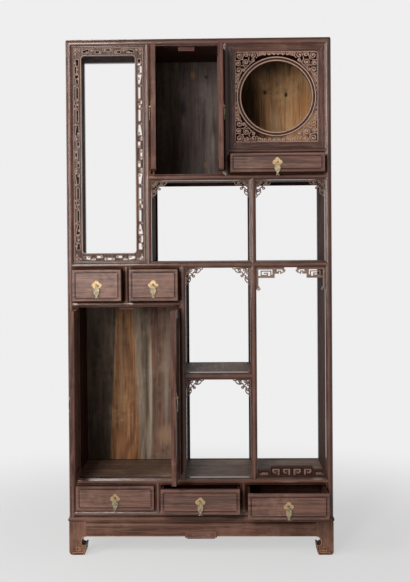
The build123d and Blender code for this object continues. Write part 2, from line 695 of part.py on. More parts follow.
# ---------------------------------------------------------------- display bay's pierced frame
def mitred_bars(outer, inner):
    """Outlines of the bottom, top, left and right bars between two rectangles (x0, x1, z0, z1)."""
    x0, x1, z0, z1 = outer
    u0, u1, w0, w1 = inner
    gap = JOINT_GAP
    bottom = [(x0 + gap, z0), (x1 - gap, z0), (u1 - gap, w0), (u0 + gap, w0)]
    top = [(x0 + gap, z1), (x1 - gap, z1), (u1 - gap, w1), (u0 + gap, w1)]
    left = [(x0, z0 + gap), (x0, z1 - gap), (u0, w1 - gap), (u0, w0 + gap)]
    right = [(x1, z0 + gap), (x1, z1 - gap), (u1, w1 - gap), (u1, w0 + gap)]
    return bottom, top, left, right


def pierced_bar(x0, x1, z0, z1, corners):
    """One mitred bar of the pierced frame: corners give its outline, piercings run along it."""
    along_x = x1 - x0 > z1 - z0
    length = (x1 - x0 if along_x else z1 - z0) - 2 * FRET_W
    count = max(1, round(length / FRET_PITCH))
    pitch = length / count
    with BuildPart() as bar:
        with BuildSketch(FACE.offset(-FRET_SET)):
            Polygon(*corners, align=None)
            with Locations(((x0 + x1) / 2, (z0 + z1) / 2)):
                grid = (count, 1) if along_x else (1, count)
                with GridLocations(pitch, pitch, *grid):
                    long = min(FRET_HOLE_L, pitch - FRET_HOLE_W) / 2
                    wide = FRET_HOLE_W / 2
                    flat = long - wide
                    Polygon(
                        (-long, 0), (-flat, -wide), (flat, -wide), (long, 0), (flat, wide), (-flat, wide),
                        rotation=0 if along_x else 90,
                        mode=Mode.SUBTRACT,
                    )
        extrude(amount=-FRET_T)
    return bar.part


with BuildPart() as display_fret_frame:
    outer = (left_in, display_x0, waist_z1, top_z0)
    inner = (left_in + FRET_W, display_x0 - FRET_W, waist_z1 + FRET_W, top_z0 - FRET_W)
    bottom, top, left, right = mitred_bars(outer, inner)
    add(pierced_bar(outer[0], outer[1], outer[2], inner[2], bottom))
    add(pierced_bar(outer[0], outer[1], inner[3], outer[3], top))
    add(pierced_bar(outer[0], inner[0], outer[2], outer[3], left))
    add(pierced_bar(inner[1], outer[1], outer[2], outer[3], right))
finish(display_fret_frame, "display_fret_frame")

# ---------------------------------------------------------------- moon window
field_x0 = moon_x1 + MOON_BAR
field_x1 = right_in - MOON_BAR
field_z0 = moon_z1 + MOON_BAR
field_z1 = top_z0 - MOON_BAR
moon_cx = (field_x0 + field_x1) / 2
moon_cz = (field_z0 + field_z1) / 2
moon_r = min(field_x1 - field_x0, field_z1 - field_z0) / 2 - MOON_MARGIN
moon_hole_r = moon_r - RING_BAND

with BuildPart() as moon_panel_frame:
    outer = (moon_x1, right_in, moon_z1, top_z0)
    inner = (field_x0, field_x1, field_z0, field_z1)
    with BuildSketch(FACE.offset(-CROWN)):
        for outline in mitred_bars(outer, inner):
            Polygon(*outline, align=None)
    extrude(amount=-MOON_T)
    chamfer(moon_panel_frame.edges().filter_by(Axis.Z).group_by(Axis.Y)[0], MOON_EASE)
finish(moon_panel_frame, "moon_panel_frame")

with BuildPart() as moon_ring:
    # Four curved segments, jointed at the diagonals.
    for i in range(4):
        with BuildPart(mode=Mode.PRIVATE) as segment:
            turn = radians(45 + 90 * i)
            turned = Plane(
                origin=(moon_cx, FRONT + RING_SET, moon_cz),
                x_dir=(cos(turn), 0, sin(turn)),
                z_dir=(-sin(turn), 0, cos(turn)),
            )
            with BuildSketch(turned):
                Polygon((moon_hole_r, 0), (moon_r, 0), (moon_r, RING_T), (moon_hole_r, RING_T), align=None)
            revolve(axis=Axis((moon_cx, 0, moon_cz), (0, 1, 0)), revolution_arc=90 - RING_JOINT)
        add(segment.part)
finish(moon_ring, "moon_ring")


def scroll(centre, start, turn, radius, band, steps):
    """The outline of a scroll band that winds inward through turn degrees about its centre."""
    outer = []
    inner = []
    for i in range(steps + 1):
        angle = radians(start + turn * i / steps)
        r = radius * (1 - SCROLL_SHRINK * i / steps)
        outer.append((centre[0] + r * cos(angle), centre[1] + r * sin(angle)))
        inner.append((centre[0] + (r - band) * cos(angle), centre[1] + (r - band) * sin(angle)))
    return outer + inner[::-1]


def carved_quarter():
    """One corner of the moon window's carved field, its outer corner at the origin, in -x and -y."""
    wide = (field_x1 - field_x0) / 2 - CARVING_FIT
    tall = (field_z1 - field_z0) / 2 - CARVING_FIT
    with BuildSketch() as quarter:
        with Locations((-wide / 2, -tall / 2)):
            Rectangle(wide, tall)
        with Locations((-wide, -tall)):
            Circle(moon_r + CARVING_FIT, mode=Mode.SUBTRACT)
            Rectangle(2 * JOINT_GAP, 3 * tall, mode=Mode.SUBTRACT)
            Rectangle(3 * wide, 2 * JOINT_GAP, mode=Mode.SUBTRACT)
        for x, y, r in CLOUD_HOLES:
            with Locations((-x, -y)):
                RegularPolygon(r, 6, mode=Mode.SUBTRACT)
        for x, y, r in CLOUD_HOLES[:3]:
            Polygon(*scroll((-x, -y), 90, -CLOUD_TURN, r + CLOUD_BAND / 2, CLOUD_BAND, 4), align=None)
    return quarter.sketch


with BuildPart() as moon_carving:
    depth_plane = FACE.offset(-(CROWN + MOON_T - CARVING_T))
    for side_x in (-1, 1):
        for side_z in (-1, 1):
            with BuildSketch(depth_plane):
                shape = carved_quarter()
                if side_x < 0:
                    shape = mirror(shape, about=Plane.YZ, mode=Mode.PRIVATE)
                if side_z < 0:
                    shape = mirror(shape, about=Plane.XZ, mode=Mode.PRIVATE)
                place_x = field_x1 - CARVING_FIT if side_x > 0 else field_x0 + CARVING_FIT
                place_z = field_z1 - CARVING_FIT if side_z > 0 else field_z0 + CARVING_FIT
                with Locations((place_x, place_z)):
                    add(shape)
            extrude(amount=-CARVING_T)
finish(moon_carving, "moon_carving")


# ---------------------------------------------------------------- corner brackets
def scroll_bracket():
    """An openwork bracket in the corner at the origin: arms along +x and -y, scrolls between."""
    reach, arm, band = SCROLL_REACH, SCROLL_ARM, SCROLL_BAND
    with BuildSketch() as bracket:
        Polygon((0, 0), (reach, 0), (arm, -band), (band, -band), (band, -arm), (0, -reach), align=None)
        for x, y, r, start, turn in SCROLL_EYES:
            Polygon(*scroll((x, -y), start, turn, r, band, 5), align=None)
    return bracket.sketch


with BuildPart() as scroll_spandrels:
    for x, z, way in (
        (display_x1, shelf_z0, 1),
        (right_x0, shelf_z0, -1),
        (right_x1, shelf_z0, 1),
        (right_in, shelf_z0, -1),
        (cupboard_x1, waist_z0, 1),
        (right_x0, waist_z0, -1),
        (cupboard_x1, niche_z0, 1),
        (right_x0, niche_z0, -1),
    ):
        with BuildSketch(FACE.offset(-BRACKET_SET)):
            shape = scroll_bracket()
            if way < 0:
                shape = mirror(shape, about=Plane.YZ, mode=Mode.PRIVATE)
            with Locations((x, z)):
                add(shape)
        extrude(amount=-BRACKET_T)
finish(scroll_spandrels, "scroll_spandrels")


def key_bracket():
    """A stepped key-fret bracket: arms along +x and -y with a square meander in the corner."""
    with BuildSketch() as bracket:
        Polygon(
            (0, 0), (KEY_REACH, 0), (KEY_REACH - KEY_BAND, -KEY_STEP), (KEY_BLOCK_W, -KEY_STEP),
            (KEY_BLOCK_W, -KEY_BLOCK_H), (KEY_BAND, -KEY_BLOCK_H), (KEY_BAND, -KEY_DROP), (0, -KEY_DROP),
            align=None,
        )
        with Locations((KEY_BLOCK_W / 2, -KEY_OPEN_DOWN)):
            Rectangle(KEY_OPEN_W, KEY_OPEN_H, mode=Mode.SUBTRACT)
            Rectangle(KEY_TONGUE, KEY_BAR)
            with Locations((KEY_TONGUE / 2 - KEY_BAR / 2, 0)):
                Rectangle(KEY_BAR, KEY_OPEN_H + KEY_BAR)
    return bracket.sketch


with BuildPart() as key_fret_spandrels:
    for x, way in ((right_x1, 1), (right_in, -1)):
        with BuildSketch(FACE.offset(-BRACKET_SET)):
            shape = key_bracket()
            if way < 0:
                shape = mirror(shape, about=Plane.YZ, mode=Mode.PRIVATE)
            with Locations((x, waist_z0)):
                add(shape)
        extrude(amount=-BRACKET_T)
finish(key_fret_spandrels, "key_fret_spandrels")

with BuildPart() as gallery_rail:
    gallery_mid = (right_x1 + right_in) / 2
    bay_w = right_in - right_x1
    with BuildSketch(FACE.offset(-BRACKET_SET)):
        with Locations((gallery_mid, floor_z1 + GALLERY_BASE / 2)):
            Rectangle(bay_w, GALLERY_BASE)
        with Locations((gallery_mid, floor_z1 + GALLERY_H / 2)):
            Rectangle(GALLERY_CENTRE_W, GALLERY_H)
        with Locations((gallery_mid, floor_z1 + GALLERY_WING_H / 2)):
            Rectangle(bay_w, GALLERY_WING_H)
        hole_h = GALLERY_H - 2 * GALLERY_BASE
        hole_w = GALLERY_CENTRE_W / GALLERY_KEYS - GALLERY_BASE
        with Locations((gallery_mid, floor_z1 + GALLERY_H / 2)):
            with GridLocations(GALLERY_CENTRE_W / GALLERY_KEYS, 1, GALLERY_KEYS, 1):
                Rectangle(hole_w, hole_h, mode=Mode.SUBTRACT)
                Rectangle(GALLERY_EYE_W, GALLERY_EYE_H)
                with Locations((0, -hole_h / 4)):
                    Rectangle(GALLERY_STEM, hole_h / 2 + GALLERY_STEM)
        wing_w = (bay_w - GALLERY_CENTRE_W) / 2 - 2 * GALLERY_BASE
        for way in (-1, 1):
            wing_x = gallery_mid + way * (GALLERY_CENTRE_W + bay_w) / 4
            with Locations((wing_x, floor_z1 + GALLERY_WING_H / 2)):
                Rectangle(wing_w, GALLERY_WING_H - 2 * GALLERY_BASE, mode=Mode.SUBTRACT)
    extrude(amount=-BRACKET_T)
finish(gallery_rail, "gallery_rail")


# ---------------------------------------------------------------- brass pulls
def lobed_square():
    """A square set on its corner, each corner blunt and each side waisted."""
    outline = []
    for i in range(4):
        for turn, r in ((-PLATE_BLUNT, PLATE_TIP), (PLATE_BLUNT, PLATE_TIP), (45, PLATE_WAIST)):
            angle = radians(90 * i + turn)
            outline.append((r * cos(angle), r * sin(angle)))
    return outline


def build_plate(plane):
    """A lobed square plate with two ears and the pin between them; plane z is out of the wood."""
    ear_x = BARREL_W / 2 + PIN_CLEAR + EAR_T / 2
    with BuildPart() as plate:
        with BuildSketch(plane):
            Polygon(*lobed_square(), align=None)
        extrude(amount=PLATE_T)
        with BuildSketch(plane.offset(PLATE_T)):
            with Locations((-ear_x, 0), (ear_x, 0)):
                Rectangle(EAR_T, 2 * (PIN_R + EAR_WALL))
        extrude(amount=PIN_OUT + PIN_R + EAR_WALL - PLATE_T)
        across = Plane(origin=plane.offset(PIN_OUT).origin - plane.x_dir * ear_x, z_dir=plane.x_dir)
        with BuildSketch(across):
            RegularPolygon(PIN_R, PIN_SIDES)
        extrude(amount=2 * ear_x)
    return plate


def build_pendant(plane):
    """A hanging fish with a barrel around the pin; plane origin under the pin, on the wood."""
    barrel_start = plane.offset(PIN_OUT).origin - plane.x_dir * (BARREL_W / 2)
    right_side = [(x, -y) for x, y in FISH]
    left_side = [(-x, y) for x, y in right_side[::-1]]
    outline = right_side + [(0, -TAIL_NOTCH)] + left_side
    with BuildPart() as pendant:
        with BuildSketch(Plane(origin=barrel_start, z_dir=plane.x_dir)):
            RegularPolygon(BARREL_R, PIN_SIDES)
        extrude(amount=BARREL_W)
        with BuildSketch(plane.offset(PIN_OUT - PENDANT_T / 2)):
            Polygon(*outline, align=None)
        extrude(amount=PENDANT_T)
        with BuildSketch(Plane(origin=barrel_start, z_dir=plane.x_dir)):
            RegularPolygon(PIN_R + PIN_CLEAR, PIN_SIDES, major_radius=False)
        extrude(amount=BARREL_W, mode=Mode.SUBTRACT)
    return pendant


# ---------------------------------------------------------------- drawers
for drawer in DRAWERS:
    front_y = FRONT + DRAWER_SET - drawer.out
    fx0 = drawer.x0 + DRAWER_GAP
    fx1 = drawer.x1 - DRAWER_GAP
    fz0 = drawer.z0 + DRAWER_GAP
    fz1 = drawer.z1 - DRAWER_GAP
    box_z0 = drawer.z0 + RUN_GAP
    box_z1 = fz1 - BOX_DROP
    box_y0 = front_y + FACE_T + JOINT_GAP
    box_y1 = front_y + DRAWER_L
    mid_x = (fx0 + fx1) / 2
    mid_z = (fz0 + fz1) / 2
    face_plane = Plane(origin=(mid_x, front_y, mid_z), x_dir=(1, 0, 0), z_dir=(0, -1, 0))
    with BuildPart() as drawer_box:
        with BuildSketch(face_plane):
            Rectangle(fx1 - fx0, fz1 - fz0)
        extrude(amount=-FACE_T)
        chamfer(drawer_box.faces().sort_by(Axis.Y)[0].edges(), FACE_ROUND)
        with BuildSketch(face_plane):
            line_w = fx1 - fx0 - 2 * INLAY_IN
            line_h = fz1 - fz0 - 2 * INLAY_IN
            Rectangle(line_w, line_h)
            Rectangle(line_w - 2 * INLAY_W, line_h - 2 * INLAY_W, mode=Mode.SUBTRACT)
        extrude(amount=-INLAY_DEPTH, mode=Mode.SUBTRACT)
        add(cuboid(fx0, fx0 + DRAWER_SIDE_T, box_y0, box_y1, box_z0, box_z1))
        add(cuboid(fx1 - DRAWER_SIDE_T, fx1, box_y0, box_y1, box_z0, box_z1))
        in_x0 = fx0 + DRAWER_SIDE_T + JOINT_GAP
        in_x1 = fx1 - DRAWER_SIDE_T - JOINT_GAP
        back_y = box_y1 - DRAWER_SIDE_T
        add(cuboid(in_x0, in_x1, back_y, box_y1, box_z0, box_z1))
        bottom_z = box_z0 + BOTTOM_UP
        add(cuboid(in_x0, in_x1, box_y0, back_y - JOINT_GAP, bottom_z, bottom_z + DRAWER_BOTTOM_T))
    finish(drawer_box, drawer.name)
    pull_plane = Plane(origin=(mid_x, front_y, mid_z), x_dir=(1, 0, 0), z_dir=(0, -1, 0))
    finish(build_plate(pull_plane), f"{drawer.name}_plate")
    finish(build_pendant(pull_plane), f"{drawer.name}_pull")

# ---------------------------------------------------------------- doors
for door in DOORS:
    turn = radians(door.open_deg)
    px, py = pivots_in(door)
    along = Vector(-door.side * cos(turn), -sin(turn), 0)  # from pivot to free edge
    outward = Vector(door.side * sin(turn), -cos(turn), 0)  # the leaf's front face
    normal = outward * -door.side  # keeps the sketch's y axis upright on either hand
    leaf = Plane(origin=(px, py, door.z0), x_dir=along, z_dir=normal)
    u0 = -LEAF_T / 2
    u1 = door.width - LEAF_T / 2
    v0 = u0 + STILE_W
    v1 = u1 - STILE_W
    high = door.z1 - door.z0
    mitre_u = u0 + HINGE_EASE  # the mitre starts clear of the eased edge
    with BuildPart() as door_leaf:
        # hinge stile with its pivots, its edge eased so that it turns beside the upright
        with BuildSketch(leaf):
            hinge_end = [(v0, high - STILE_W), (mitre_u, high), (u0, high)]
            Polygon((u0, 0), (mitre_u, 0), (v0, STILE_W), *hinge_end, align=None)
        extrude(amount=LEAF_T / 2, both=True)
        chamfer(door_leaf.edges().filter_by(Axis.Z).group_by(SortBy.LENGTH)[-1], HINGE_EASE)
        for z, end_z in ((door.z0, door.sill - PIVOT_DEPTH), (door.z1, door.head + PIVOT_DEPTH)):
            way = 1 if end_z > z else -1
            with BuildSketch(Plane(origin=(px, py, z - way * PIVOT_ROOT))):
                RegularPolygon(PIVOT_R, PIVOT_SIDES)
            extrude(amount=end_z - z + way * (PIVOT_ROOT - PIVOT_END_GAP))
        # meeting stile
        with BuildSketch(leaf):
            Polygon((u1, 0), (u1, high), (v1, high - STILE_W), (v1, STILE_W), align=None)
        extrude(amount=LEAF_T / 2, both=True)
        # rails
        with BuildSketch(leaf):
            for z, inward in ((0, STILE_W), (high, high - STILE_W)):
                ends = [(mitre_u + JOINT_GAP, z), (u1 - JOINT_GAP, z)]
                Polygon(*ends, (v1 - JOINT_GAP, inward), (v0 + JOINT_GAP, inward), align=None)
        extrude(amount=LEAF_T / 2, both=True)
        # groove for the panel, cut through all four bars
        slot_w = door.width - 2 * STILE_W + 2 * GROOVE
        slot_h = high - 2 * STILE_W + 2 * GROOVE
        mid = ((u0 + u1) / 2, high / 2)
        with BuildSketch(leaf):
            with Locations(mid):
                Rectangle(slot_w, slot_h)
        extrude(amount=LEAF_PANEL_T / 2 + GROOVE_SLACK, both=True, mode=Mode.SUBTRACT)
        with BuildSketch(leaf):
            with Locations(mid):
                Rectangle(slot_w - 2 * GROOVE_SLACK, slot_h - 2 * GROOVE_SLACK)
        extrude(amount=LEAF_PANEL_T / 2, both=True)
    finish(door_leaf, door.name)
    pull_at = leaf.from_local_coords(Vector(u1 - DOOR_PULL_IN, high / 2, 0)) + outward * (LEAF_T / 2)
    pull_plane = Plane(origin=pull_at, x_dir=along * -door.side, z_dir=outward)
    finish(build_plate(pull_plane), f"{door.name}_plate")
    finish(build_pendant(pull_plane), f"{door.name}_pull")
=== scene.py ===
"""A tall Chinese display and book cabinet: its carving, worn hardwood, boards and brass.

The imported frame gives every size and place. Each operator below makes one group of pieces,
and main() runs them in order.
"""

import json
from math import atan2, cos, hypot, pi, radians, sin, tau

import bpy
from bpy.props import FloatProperty, FloatVectorProperty, PointerProperty
from mathutils import Matrix, Vector


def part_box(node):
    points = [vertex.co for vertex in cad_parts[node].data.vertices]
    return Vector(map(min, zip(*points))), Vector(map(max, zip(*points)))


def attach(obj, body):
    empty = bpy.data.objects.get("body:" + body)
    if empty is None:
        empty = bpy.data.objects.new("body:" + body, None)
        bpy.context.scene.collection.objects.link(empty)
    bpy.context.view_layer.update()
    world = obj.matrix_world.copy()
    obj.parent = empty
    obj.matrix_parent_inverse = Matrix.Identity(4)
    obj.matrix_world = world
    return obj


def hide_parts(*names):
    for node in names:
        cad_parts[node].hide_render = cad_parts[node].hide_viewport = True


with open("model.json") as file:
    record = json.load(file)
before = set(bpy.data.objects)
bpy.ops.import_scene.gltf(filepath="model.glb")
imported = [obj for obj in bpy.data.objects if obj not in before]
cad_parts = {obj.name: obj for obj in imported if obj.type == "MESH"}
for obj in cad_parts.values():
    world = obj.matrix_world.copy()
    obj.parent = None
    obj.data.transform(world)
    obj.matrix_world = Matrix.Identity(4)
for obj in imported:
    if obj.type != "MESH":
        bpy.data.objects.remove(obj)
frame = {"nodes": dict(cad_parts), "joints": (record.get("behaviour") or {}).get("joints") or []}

bl_info = {
    "name": "Display Cabinet",
    "version": (1, 0, 0),
    "blender": (4, 5, 0),
    "location": "View3D > Sidebar > Cabinet",
    "description": "Carves and finishes a Chinese display and book cabinet",
    "category": "Object",
}

# Sizes of the frame's members that its boxes don't give, in metres.
UPRIGHT = 0.024
DRAWER_RAIL = 0.023
DRAWER_ROW = 0.123
CENTRE_W = 0.243
SCROLL_REACH = 0.066

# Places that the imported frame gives. -Y is the front.
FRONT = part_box("front_rails")[0].y
DISPLAY_X1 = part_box("display_fret_frame")[1].x + UPRIGHT
MOON_X1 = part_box("moon_panel_frame")[0].x
MOON_Z1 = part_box("moon_panel_frame")[0].z
MOON_X0 = MOON_X1 - UPRIGHT
RIGHT_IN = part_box("moon_panel_frame")[1].x
RIGHT_X1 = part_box("key_fret_spandrels")[0].x
RIGHT_X0 = RIGHT_X1 - UPRIGHT
CUPBOARD_X1 = RIGHT_X0 - CENTRE_W
CUPBOARD_X0 = CUPBOARD_X1 - UPRIGHT
WAIST_Z0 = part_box("key_fret_spandrels")[1].z
SILL_Z0 = WAIST_Z0 - DRAWER_ROW - DRAWER_RAIL
FLOOR_Z1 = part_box("gallery_rail")[0].z
SHELF_Z0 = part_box("scroll_spandrels")[1].z
NICHE_Z0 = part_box("scroll_spandrels")[0].z + SCROLL_REACH

LEGS = ("leg_front_left", "leg_front_right", "leg_rear_left", "leg_rear_right")
DRAWERS = tuple(
    "drawer_" + place
    for place in (
        "small_left", "small_right", "shallow", "bottom_left", "bottom_middle", "bottom_right",
    )
)
DOORS = ("door_upper_left", "door_upper_right", "door_lower_left", "door_lower_right")

UPENDED = (pi / 2, 0, 0)  # turns what lies flat to face the front


# ---------------------------------------------------------------- what a user would change
class CabinetSizes(bpy.types.PropertyGroup):
    """Sizes of the carving and fittings."""

    arris: FloatProperty(
        name="Worn arris", description="Rounding of every wooden edge",
        default=0.0009, unit="LENGTH",
    )
    strand: FloatProperty(
        name="Scroll strand", description="Width of a carved strand",
        default=0.0042, unit="LENGTH",
    )
    fret_border: FloatProperty(
        name="Fret border", description="Plain outer border",
        default=0.0065, unit="LENGTH",
    )
    fret_bead: FloatProperty(
        name="Fret bead", description="Bead inside the fret",
        default=0.0046, unit="LENGTH",
    )
    plate: FloatProperty(
        name="Pull plate", description="Plate centre to tip",
        default=0.020, unit="LENGTH",
    )
    fish: FloatProperty(
        name="Pull length", description="Hanging fish, pin to tail",
        default=0.050, unit="LENGTH",
    )
    inlay: FloatProperty(
        name="Incised line", description="Groove in a drawer front",
        default=0.0022, unit="LENGTH",
    )


class CabinetColours(bpy.types.PropertyGroup):
    """Colours of the finishes, as they render."""

    # Also the tone of painted shade in carving's depth, in the frame's grooves and on the gallery's
    # ground.
    deep: FloatVectorProperty(
        name="Hardwood pores", description="Pores and the dark of deep carving",
        default=(0.026, 0.009, 0.0055), subtype="COLOR",
    )
    wood: FloatVectorProperty(
        name="Hardwood", description="Body of the dark hardwood",
        default=(0.086, 0.028, 0.016), subtype="COLOR",
    )
    # Also the tone of the painted highlight on the crests of carving and the crowns of the frame.
    worn_and_highlight: FloatVectorProperty(
        name="Worn hardwood", description="Wood where handling has paled it",
        default=(0.25, 0.132, 0.094), subtype="COLOR",
    )
    foot: FloatVectorProperty(
        name="Worn feet", description="Paler wood low on the stand",
        default=(0.26, 0.125, 0.070), subtype="COLOR",
    )
    front: FloatVectorProperty(
        name="Drawer fronts", description="Wood of the drawer fronts",
        default=(0.145, 0.066, 0.047), subtype="COLOR",
    )
    brass: FloatVectorProperty(
        name="Brass", description="Metal of the plates",
        default=(0.42, 0.29, 0.155), subtype="COLOR",
    )
    patina: FloatVectorProperty(
        name="Aged brass", description="Metal of the hanging fish",
        default=(0.32, 0.26, 0.16), subtype="COLOR",
    )


def sizes():
    return bpy.context.scene.cabinet_sizes


def colours():
    return bpy.context.scene.cabinet_colours


# ---------------------------------------------------------------- finishes
class Nodes:
    """A shader tree built up node by node."""

    def __init__(self, tree):
        self.tree = tree

    def add(self, kind, inputs=None, **settings):
        node = self.tree.nodes.new(kind)
        for key, value in settings.items():
            setattr(node, key, value)
        for key, value in (inputs or {}).items():
            self.feed(node.inputs[key], value)
        return node

    def feed(self, socket, value):
        if isinstance(value, bpy.types.NodeSocket):
            self.tree.links.new(value, socket)
        else:
            socket.default_value = value

    def math(self, operation, a, b=0.0):
        return self.add("ShaderNodeMath", {0: a, 1: b}, operation=operation).outputs[0]

    def times(self, a, b):
        return self.math("MULTIPLY", a, b)

    def seen(self):
        """1 to the camera and to what mirrors the surface, 0 to the light that it gives."""
        path = self.add("ShaderNodeLightPath").outputs
        return self.math("MAXIMUM", path["Is Camera Ray"], path["Is Glossy Ray"])

    def mix(self, share, a, b, output):
        """Sends a mix of two shaders to the tree's output."""
        node = self.add("ShaderNodeMixShader", {"Fac": share, 1: a, 2: b})
        self.feed(self.tree.nodes[output].inputs["Surface"], node.outputs[0])


class Finish(Nodes):
    """A material whose patterns stand on object coordinates."""

    def __init__(self, name):
        self.material = bpy.data.materials.new(name)
        self.material.use_nodes = True
        super().__init__(self.material.node_tree)
        self.shader = self.tree.nodes["Principled BSDF"]
        self.place = self.add("ShaderNodeTexCoord").outputs["Object"]

    def stretch(self, scale, shift=(0, 0, 0)):
        inputs = {"Vector": self.place, "Scale": scale, "Location": shift}
        return self.add("ShaderNodeMapping", inputs).outputs["Vector"]

    def noise(self, vector, scale, detail=3.0, rough=0.5, warp=0.0):
        inputs = {"Vector": vector, "Scale": scale, "Detail": detail}
        inputs.update(Roughness=rough, Distortion=warp)
        return self.add("ShaderNodeTexNoise", inputs).outputs["Fac"]

    def length(self, vector):
        return self.add("ShaderNodeVectorMath", {0: vector}, operation="LENGTH").outputs["Value"]

    def span(self, value, low, high, out_low=0.0, out_high=1.0):
        node = self.add("ShaderNodeMapRange", interpolation_type="SMOOTHSTEP")
        for socket, number in zip(node.inputs, (value, low, high, out_low, out_high)):
            self.feed(socket, number)
        return node.outputs[0]

    def blend(self, share, a, b):
        node = self.add("ShaderNodeMix", data_type="RGBA")
        self.feed(node.inputs["Factor"], share)
        for key, value in (("A", a), ("B", b)):
            socket = [s for s in node.inputs if s.name == key and s.type == "RGBA"][0]
            self.feed(socket, value if isinstance(value, bpy.types.NodeSocket) else (*value, 1))
        return [s for s in node.outputs if s.type == "RGBA"][0]

    def relief(self, height, strength, distance):
        inputs = {"Height": height, "Strength": strength, "Distance": distance}
        bump = self.add("ShaderNodeBump", inputs)
        self.feed(self.shader.inputs["Normal"], bump.outputs["Normal"])

    def finish(self, colour, roughness, metallic=0.0):
        self.feed(self.shader.inputs["Base Color"], colour)
        self.feed(self.shader.inputs["Roughness"], roughness)
        self.shader.inputs["Metallic"].default_value = metallic
        return self.material


def along(letter, lengthwise):
    """A scale that draws a pattern out along one axis."""
    return tuple(lengthwise if letter == a else 1 for a in "XYZ")


def toned(tone, share):
    return tuple(share * c for c in tone)


def mixed(a, share_a, b, share_b):
    return tuple(share_a * u + share_b * v for u, v in zip(a, b))


def hardwood(
    name, letter, wood, worn_and_highlight, worn=0.5, gloss=0.40, shine=0.5, stain=0.0, spots=(),
    groove=False, crest=None, lit=0.36, dark=0.82, depths=(0.0012, 0.0010, 0.0046),
):
    """Waxed hardwood with its grain along X, Y or Z, paler where worn, with painted shade in its
    hollows.

    A low gloss is a smooth polish. Stain is the strength of clouds of dirt and haze, and spots are
    places in x and z with their half size, colour and strength. With a crest, a painted highlight
    pales the wood down to the first depth behind it, and painted shade darkens it from the second
    depth to the third.
    """
    f = Finish(name)
    deep_tone = tuple(colours().deep)
    fine = f.noise(f.stretch(along(letter, 0.035)), 210, 4, 0.6, 0.4)
    bands = f.noise(f.stretch(along(letter, 0.07)), 34, 3, 0.55, 1.2)
    pores = f.noise(f.stretch(along(letter, 0.02)), 620, 2, 0.7)
    mottle = f.noise(f.place, 5.5, 4, 0.6)
    smudge = f.noise(f.place, 28, 3, 0.65)
    colour = f.blend(f.span(bands, 0.3, 0.68), toned(wood, 0.42), wood)
    colour = f.blend(f.times(f.span(fine, 0.45, 0.66), 0.36), colour, worn_and_highlight)
    wear = f.times(f.span(mottle, 0.42, 0.66), f.span(smudge, 0.3, 0.7))
    colour = f.blend(f.times(wear, worn), colour, worn_and_highlight)
    if stain:
        cloud = f.noise(f.stretch(along(letter, 0.13)), 13, 4, 0.6, 0.8)
        colour = f.blend(f.times(f.span(cloud, 0.46, 0.62), stain), colour, deep_tone)
        haze = f.noise(f.stretch(along(letter, 0.08), (3, 3, 3)), 22, 3, 0.6)
        colour = f.blend(f.times(f.span(haze, 0.5, 0.7), stain), colour, worn_and_highlight)
    for (x, z), (wide, high), tone, share in spots:
        reach = f.length(f.stretch((1 / wide, 0, 1 / high), (-x / wide, 0, -z / high)))
        ragged = f.math("ADD", reach, f.times(bands, 0.9))
        colour = f.blend(f.span(ragged, 1.45, 0.75, 0, share), colour, tone)
    if crest is not None:
        back = f.add("ShaderNodeSeparateXYZ", {0: f.place}).outputs["Y"]
        sunk = f.math("SUBTRACT", back, crest)
        # painted highlight: the worn tone pales the wood near the crest
        colour = f.blend(f.span(sunk, depths[0], -0.0003, 0, lit), colour, worn_and_highlight)
        # painted shade: the deep tone darkens the wood behind the crest, in its hollows
        shade = f.span(sunk, depths[1], depths[2], 0, dark)
        if groove:  # the frame's painted shade lies only down its crown's flanks into the groove, not on what stands behind it
            shade = f.times(f.span(sunk, 0.0013, 0.0024, 0, 0.78), f.span(sunk, 0.0035, 0.0031))
        colour = f.blend(shade, colour, deep_tone)
    streaks = f.span(pores, 0.6, 0.68)
    colour = f.blend(f.times(streaks, 0.6), colour, deep_tone)
    f.relief(f.math("SUBTRACT", f.times(fine, 0.5), f.times(streaks, 0.7)), 0.4, 0.0004)
    rough = f.math("ADD", f.times(smudge, gloss * 0.6), gloss * 0.8)
    f.shader.inputs["Specular IOR Level"].default_value = shine
    return f.finish(colour, f.math("ADD", rough, f.times(streaks, 0.15)))


# Places on the face frame that are rubbed pale: place, size, colour and strength.
FRAME_WEAR = (
    ((-0.466, 0.9535), (0.011, 0.005), (0.62, 0.54, 0.48), 0.8),
    ((-0.258, 0.9535), (0.009, 0.005), (0.62, 0.54, 0.48), 0.8),
    ((-0.262, 1.0900), (0.010, 0.004), (0.50, 0.40, 0.34), 0.6),
    ((0.440, 0.2900), (0.035, 0.006), (0.46, 0.36, 0.29), 0.6),
    ((0.330, 0.2800), (0.060, 0.005), (0.36, 0.26, 0.20), 0.5),
    ((-0.060, 0.1600), (0.090, 0.005), (0.36, 0.24, 0.18), 0.5),
)
# Woods of the back planks: heart and streak.
PLANK_WOODS = {
    "umber": ((0.130, 0.091, 0.064), (0.27, 0.205, 0.15)),
    "amber": ((0.52, 0.225, 0.095), (0.72, 0.42, 0.22)),
    "ash": ((0.35, 0.255, 0.180), (0.52, 0.42, 0.33)),
    "tan": ((0.35, 0.25, 0.165), (0.48, 0.38, 0.29)),
    "russet": ((0.25, 0.120, 0.078), (0.40, 0.29, 0.22)),
    "smoke": ((0.105, 0.076, 0.067), (0.22, 0.17, 0.155)),
    "gold": ((0.60, 0.29, 0.118), (0.84, 0.52, 0.27)),
}
# What carved wood has of its own: how strong the painted highlight on its crest is, how dark the
# painted shade in its depth, and both depths.
CARVED_WOODS = {
    "carving": dict(lit=0.85, dark=0.95, depths=(0.0020, 0.0014, 0.0036)),
    "fret": dict(lit=0.7, dark=0.5, depths=(0.0016, 0.0014, 0.0030)),
    "bracket": dict(lit=0.4, dark=0.92, depths=(0.0012, 0.0010, 0.0036)),
}

finishes = {}  # what wood_set has made so far


